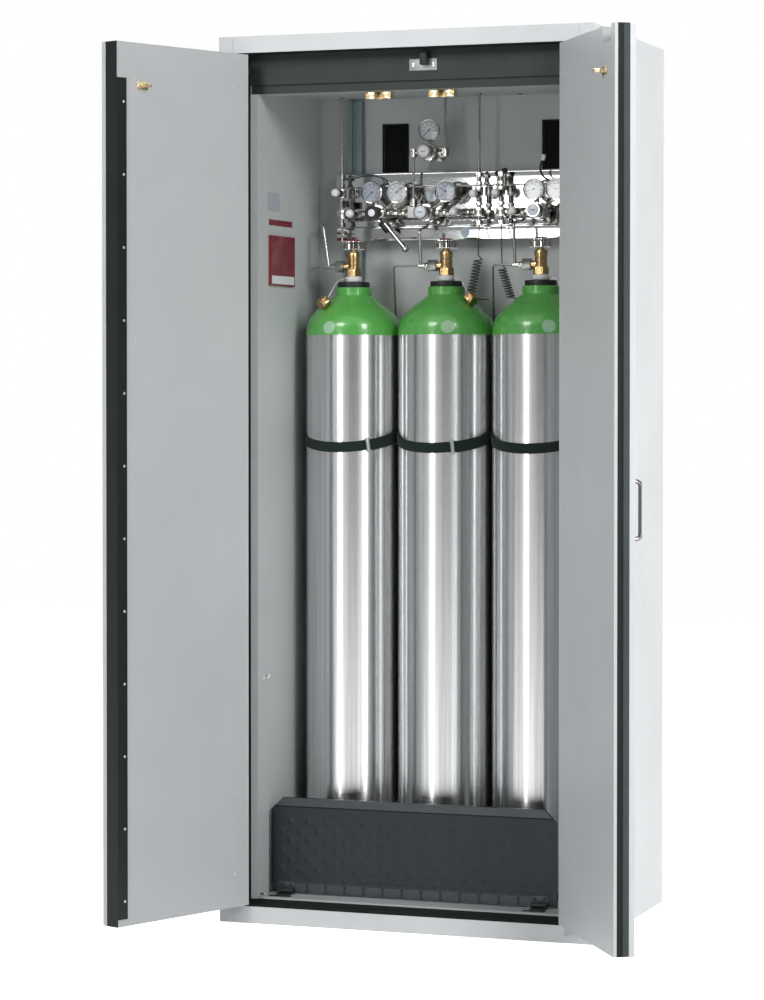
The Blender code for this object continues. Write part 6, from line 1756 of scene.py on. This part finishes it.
stem = [(0, 0), (0.0047, 0), (0.0047, 0.0028), (0.0038, 0.0032), (0.0038, 0.0088), (0, 0.0088)]
grip = [
    (0, 0.0085), (0.0060, 0.0085), (0.0086, 0.0096), (0.0095, 0.0118), (0.0095, 0.0180),
    (0.0091, 0.0212), (0.0078, 0.0240), (0.0052, 0.0256), (0, 0.0260),
]
valve_spots = (
    (left_x, gauge_row), (left_x + 0.03675, knob_row), (0.0127, knob_row),
    (middle_x, 1.6976), (right_x, 1.6997), (0.158, knob_row),
)
for number, (x, z) in enumerate(valve_spots):
    forms = [
        (turned(stem, (0, 0, 0), forward, 24), satin_chrome),
        (turned(grip, (0, 0, 0), forward, 40, (8, 0.0093)), white_plastic),
    ]
    knob = f"valve_knob_{number + 1}"
    piece(f"valve_grip_{number + 1}", knob, forms, (knob,), (x, grip_y, z))

# ---- Pigtail tubes
# A hex nut joins each cylinder outlet to a steel feed tube that runs up to its station. A thin
# restraint line leaves the same elbow and goes down behind the cylinders to the wall.

nut_grey = metal("nut_grey", (0.34, 0.34, 0.32), (0.26, 0.26, 0.24), 0.20, swing=0.10)
line_grey = coated(
    "line_grey",
    (0.20, 0.20, 0.175),
    (0.34, 0.34, 0.30),
    0.34,
    drift=0.08,
    wear=0.4,
    Metallic=0.4,
)
feeds = (
    [(-0.2963, 0.007, 1.5281), (-0.316, 0.020, 1.630), (-0.3605, 0.1455, 1.637)],
    [(-0.0633, 0.007, 1.5281), (-0.0673, 0.007, 1.6137), (-0.068, 0.070, 1.6239), (-0.068, 0.070, 1.6347)],
    [(0.1697, 0.007, 1.5281), (0.1657, 0.007, 1.6262), (0.172, 0.070, 1.6364), (0.172, 0.070, 1.6477)],
)
leftward = (-1, 0, 0)
for number, (x, reach, route) in enumerate(zip(column_x, (0.102, 0.132, 0.118), feeds)):
    nut_end, elbow_x = x - 0.0233, x - reach
    forms = [
        nut((nut_end - 0.010, column_y, outlet_z), leftward, 0.0136, 0.021, True, nut_grey),
        stub((nut_end - 0.0195, column_y, outlet_z), leftward, 0.0068, 0.0147),
        nut((nut_end - 0.0275, column_y, outlet_z), leftward, 0.0072, 0.0060),
        stub((nut_end - 0.0340, column_y, outlet_z), leftward, 0.0044, 0.0120),
        (tubed(rounded(route, 0.0108), 0.0036, 18), stainless_tube),
    ]
    end = (elbow_x - 0.040, 0.1454, 1.3381) if number else (elbow_x - 0.0355, 0.105, 1.5318)
    line = [(nut_end - 0.0445, column_y, outlet_z), (elbow_x, column_y, outlet_z), end]
    forms.append((tubed(rounded(line, 0.0085), 0.0025 if number else 0.0016, 12), line_grey))
    piece(f"pigtail_tube_{number + 1}", "cabinet", forms, (f"pigtail_{number + 1}",))

# ---- Wound signal hoses
# Two thin dark hoses wound in a spring leave the feet of the middle and right stacks and go into
# the rear wall. Each is one unbroken tube.

hose_black, tree, shader = new_finish("hose_black", {"Roughness": 0.42})
values = {"Colour": (0.045, 0.047, 0.038, 1), "Gloss loss": 0.40, "Drift": 0.15, "Peel scale": 1600.0}
sheath = node(tree, "Group", values, node_tree=coat_group).outputs
feed(tree, shader, {"Base Color": sheath["Colour"], "Roughness": sheath["Roughness"]})
wall_back, coil, turns, wire, coil_y, stack_foot = 0.1487, 0.0095, 11, 0.0015, 0.040, 1.6255
hoses = (("left", middle_x, 0.068, 1.543, 0.083, -0.018), ("right", right_x, 0.127, 1.520, 0.069, 0.023))
for word, stack_x, x, top, length, slant in hoses:
    steps = turns * 16
    route = [on_line(stack_x, stack_foot), on_line(stack_x, stack_foot - coil), (x, coil_y, top + coil)]
    lead = rounded([*route, (x + coil, coil_y, top)], 0.006, 5)
    wound = []
    for step in range(steps + 1):
        angle, share = tau * step / 16, step / steps
        across = (x + slant * share + coil * cos(angle), coil_y + coil * sin(angle))
        wound.append(Vector((*across, top - length * share)))
    end, low = x + slant + coil, top - length - coil
    tail = rounded([wound[-1], (end, coil_y + coil, low), (end, wall_back, low)], 0.005, 5)
    path = lead[:-1] + wound + tail[1:]
    hose = piece(
        f"wound_hose_{word}", "cabinet", [(tubed(path, wire, 10), hose_black)], (f"coil_hose_{word}",)
    )

bpy.context.view_layer.update()
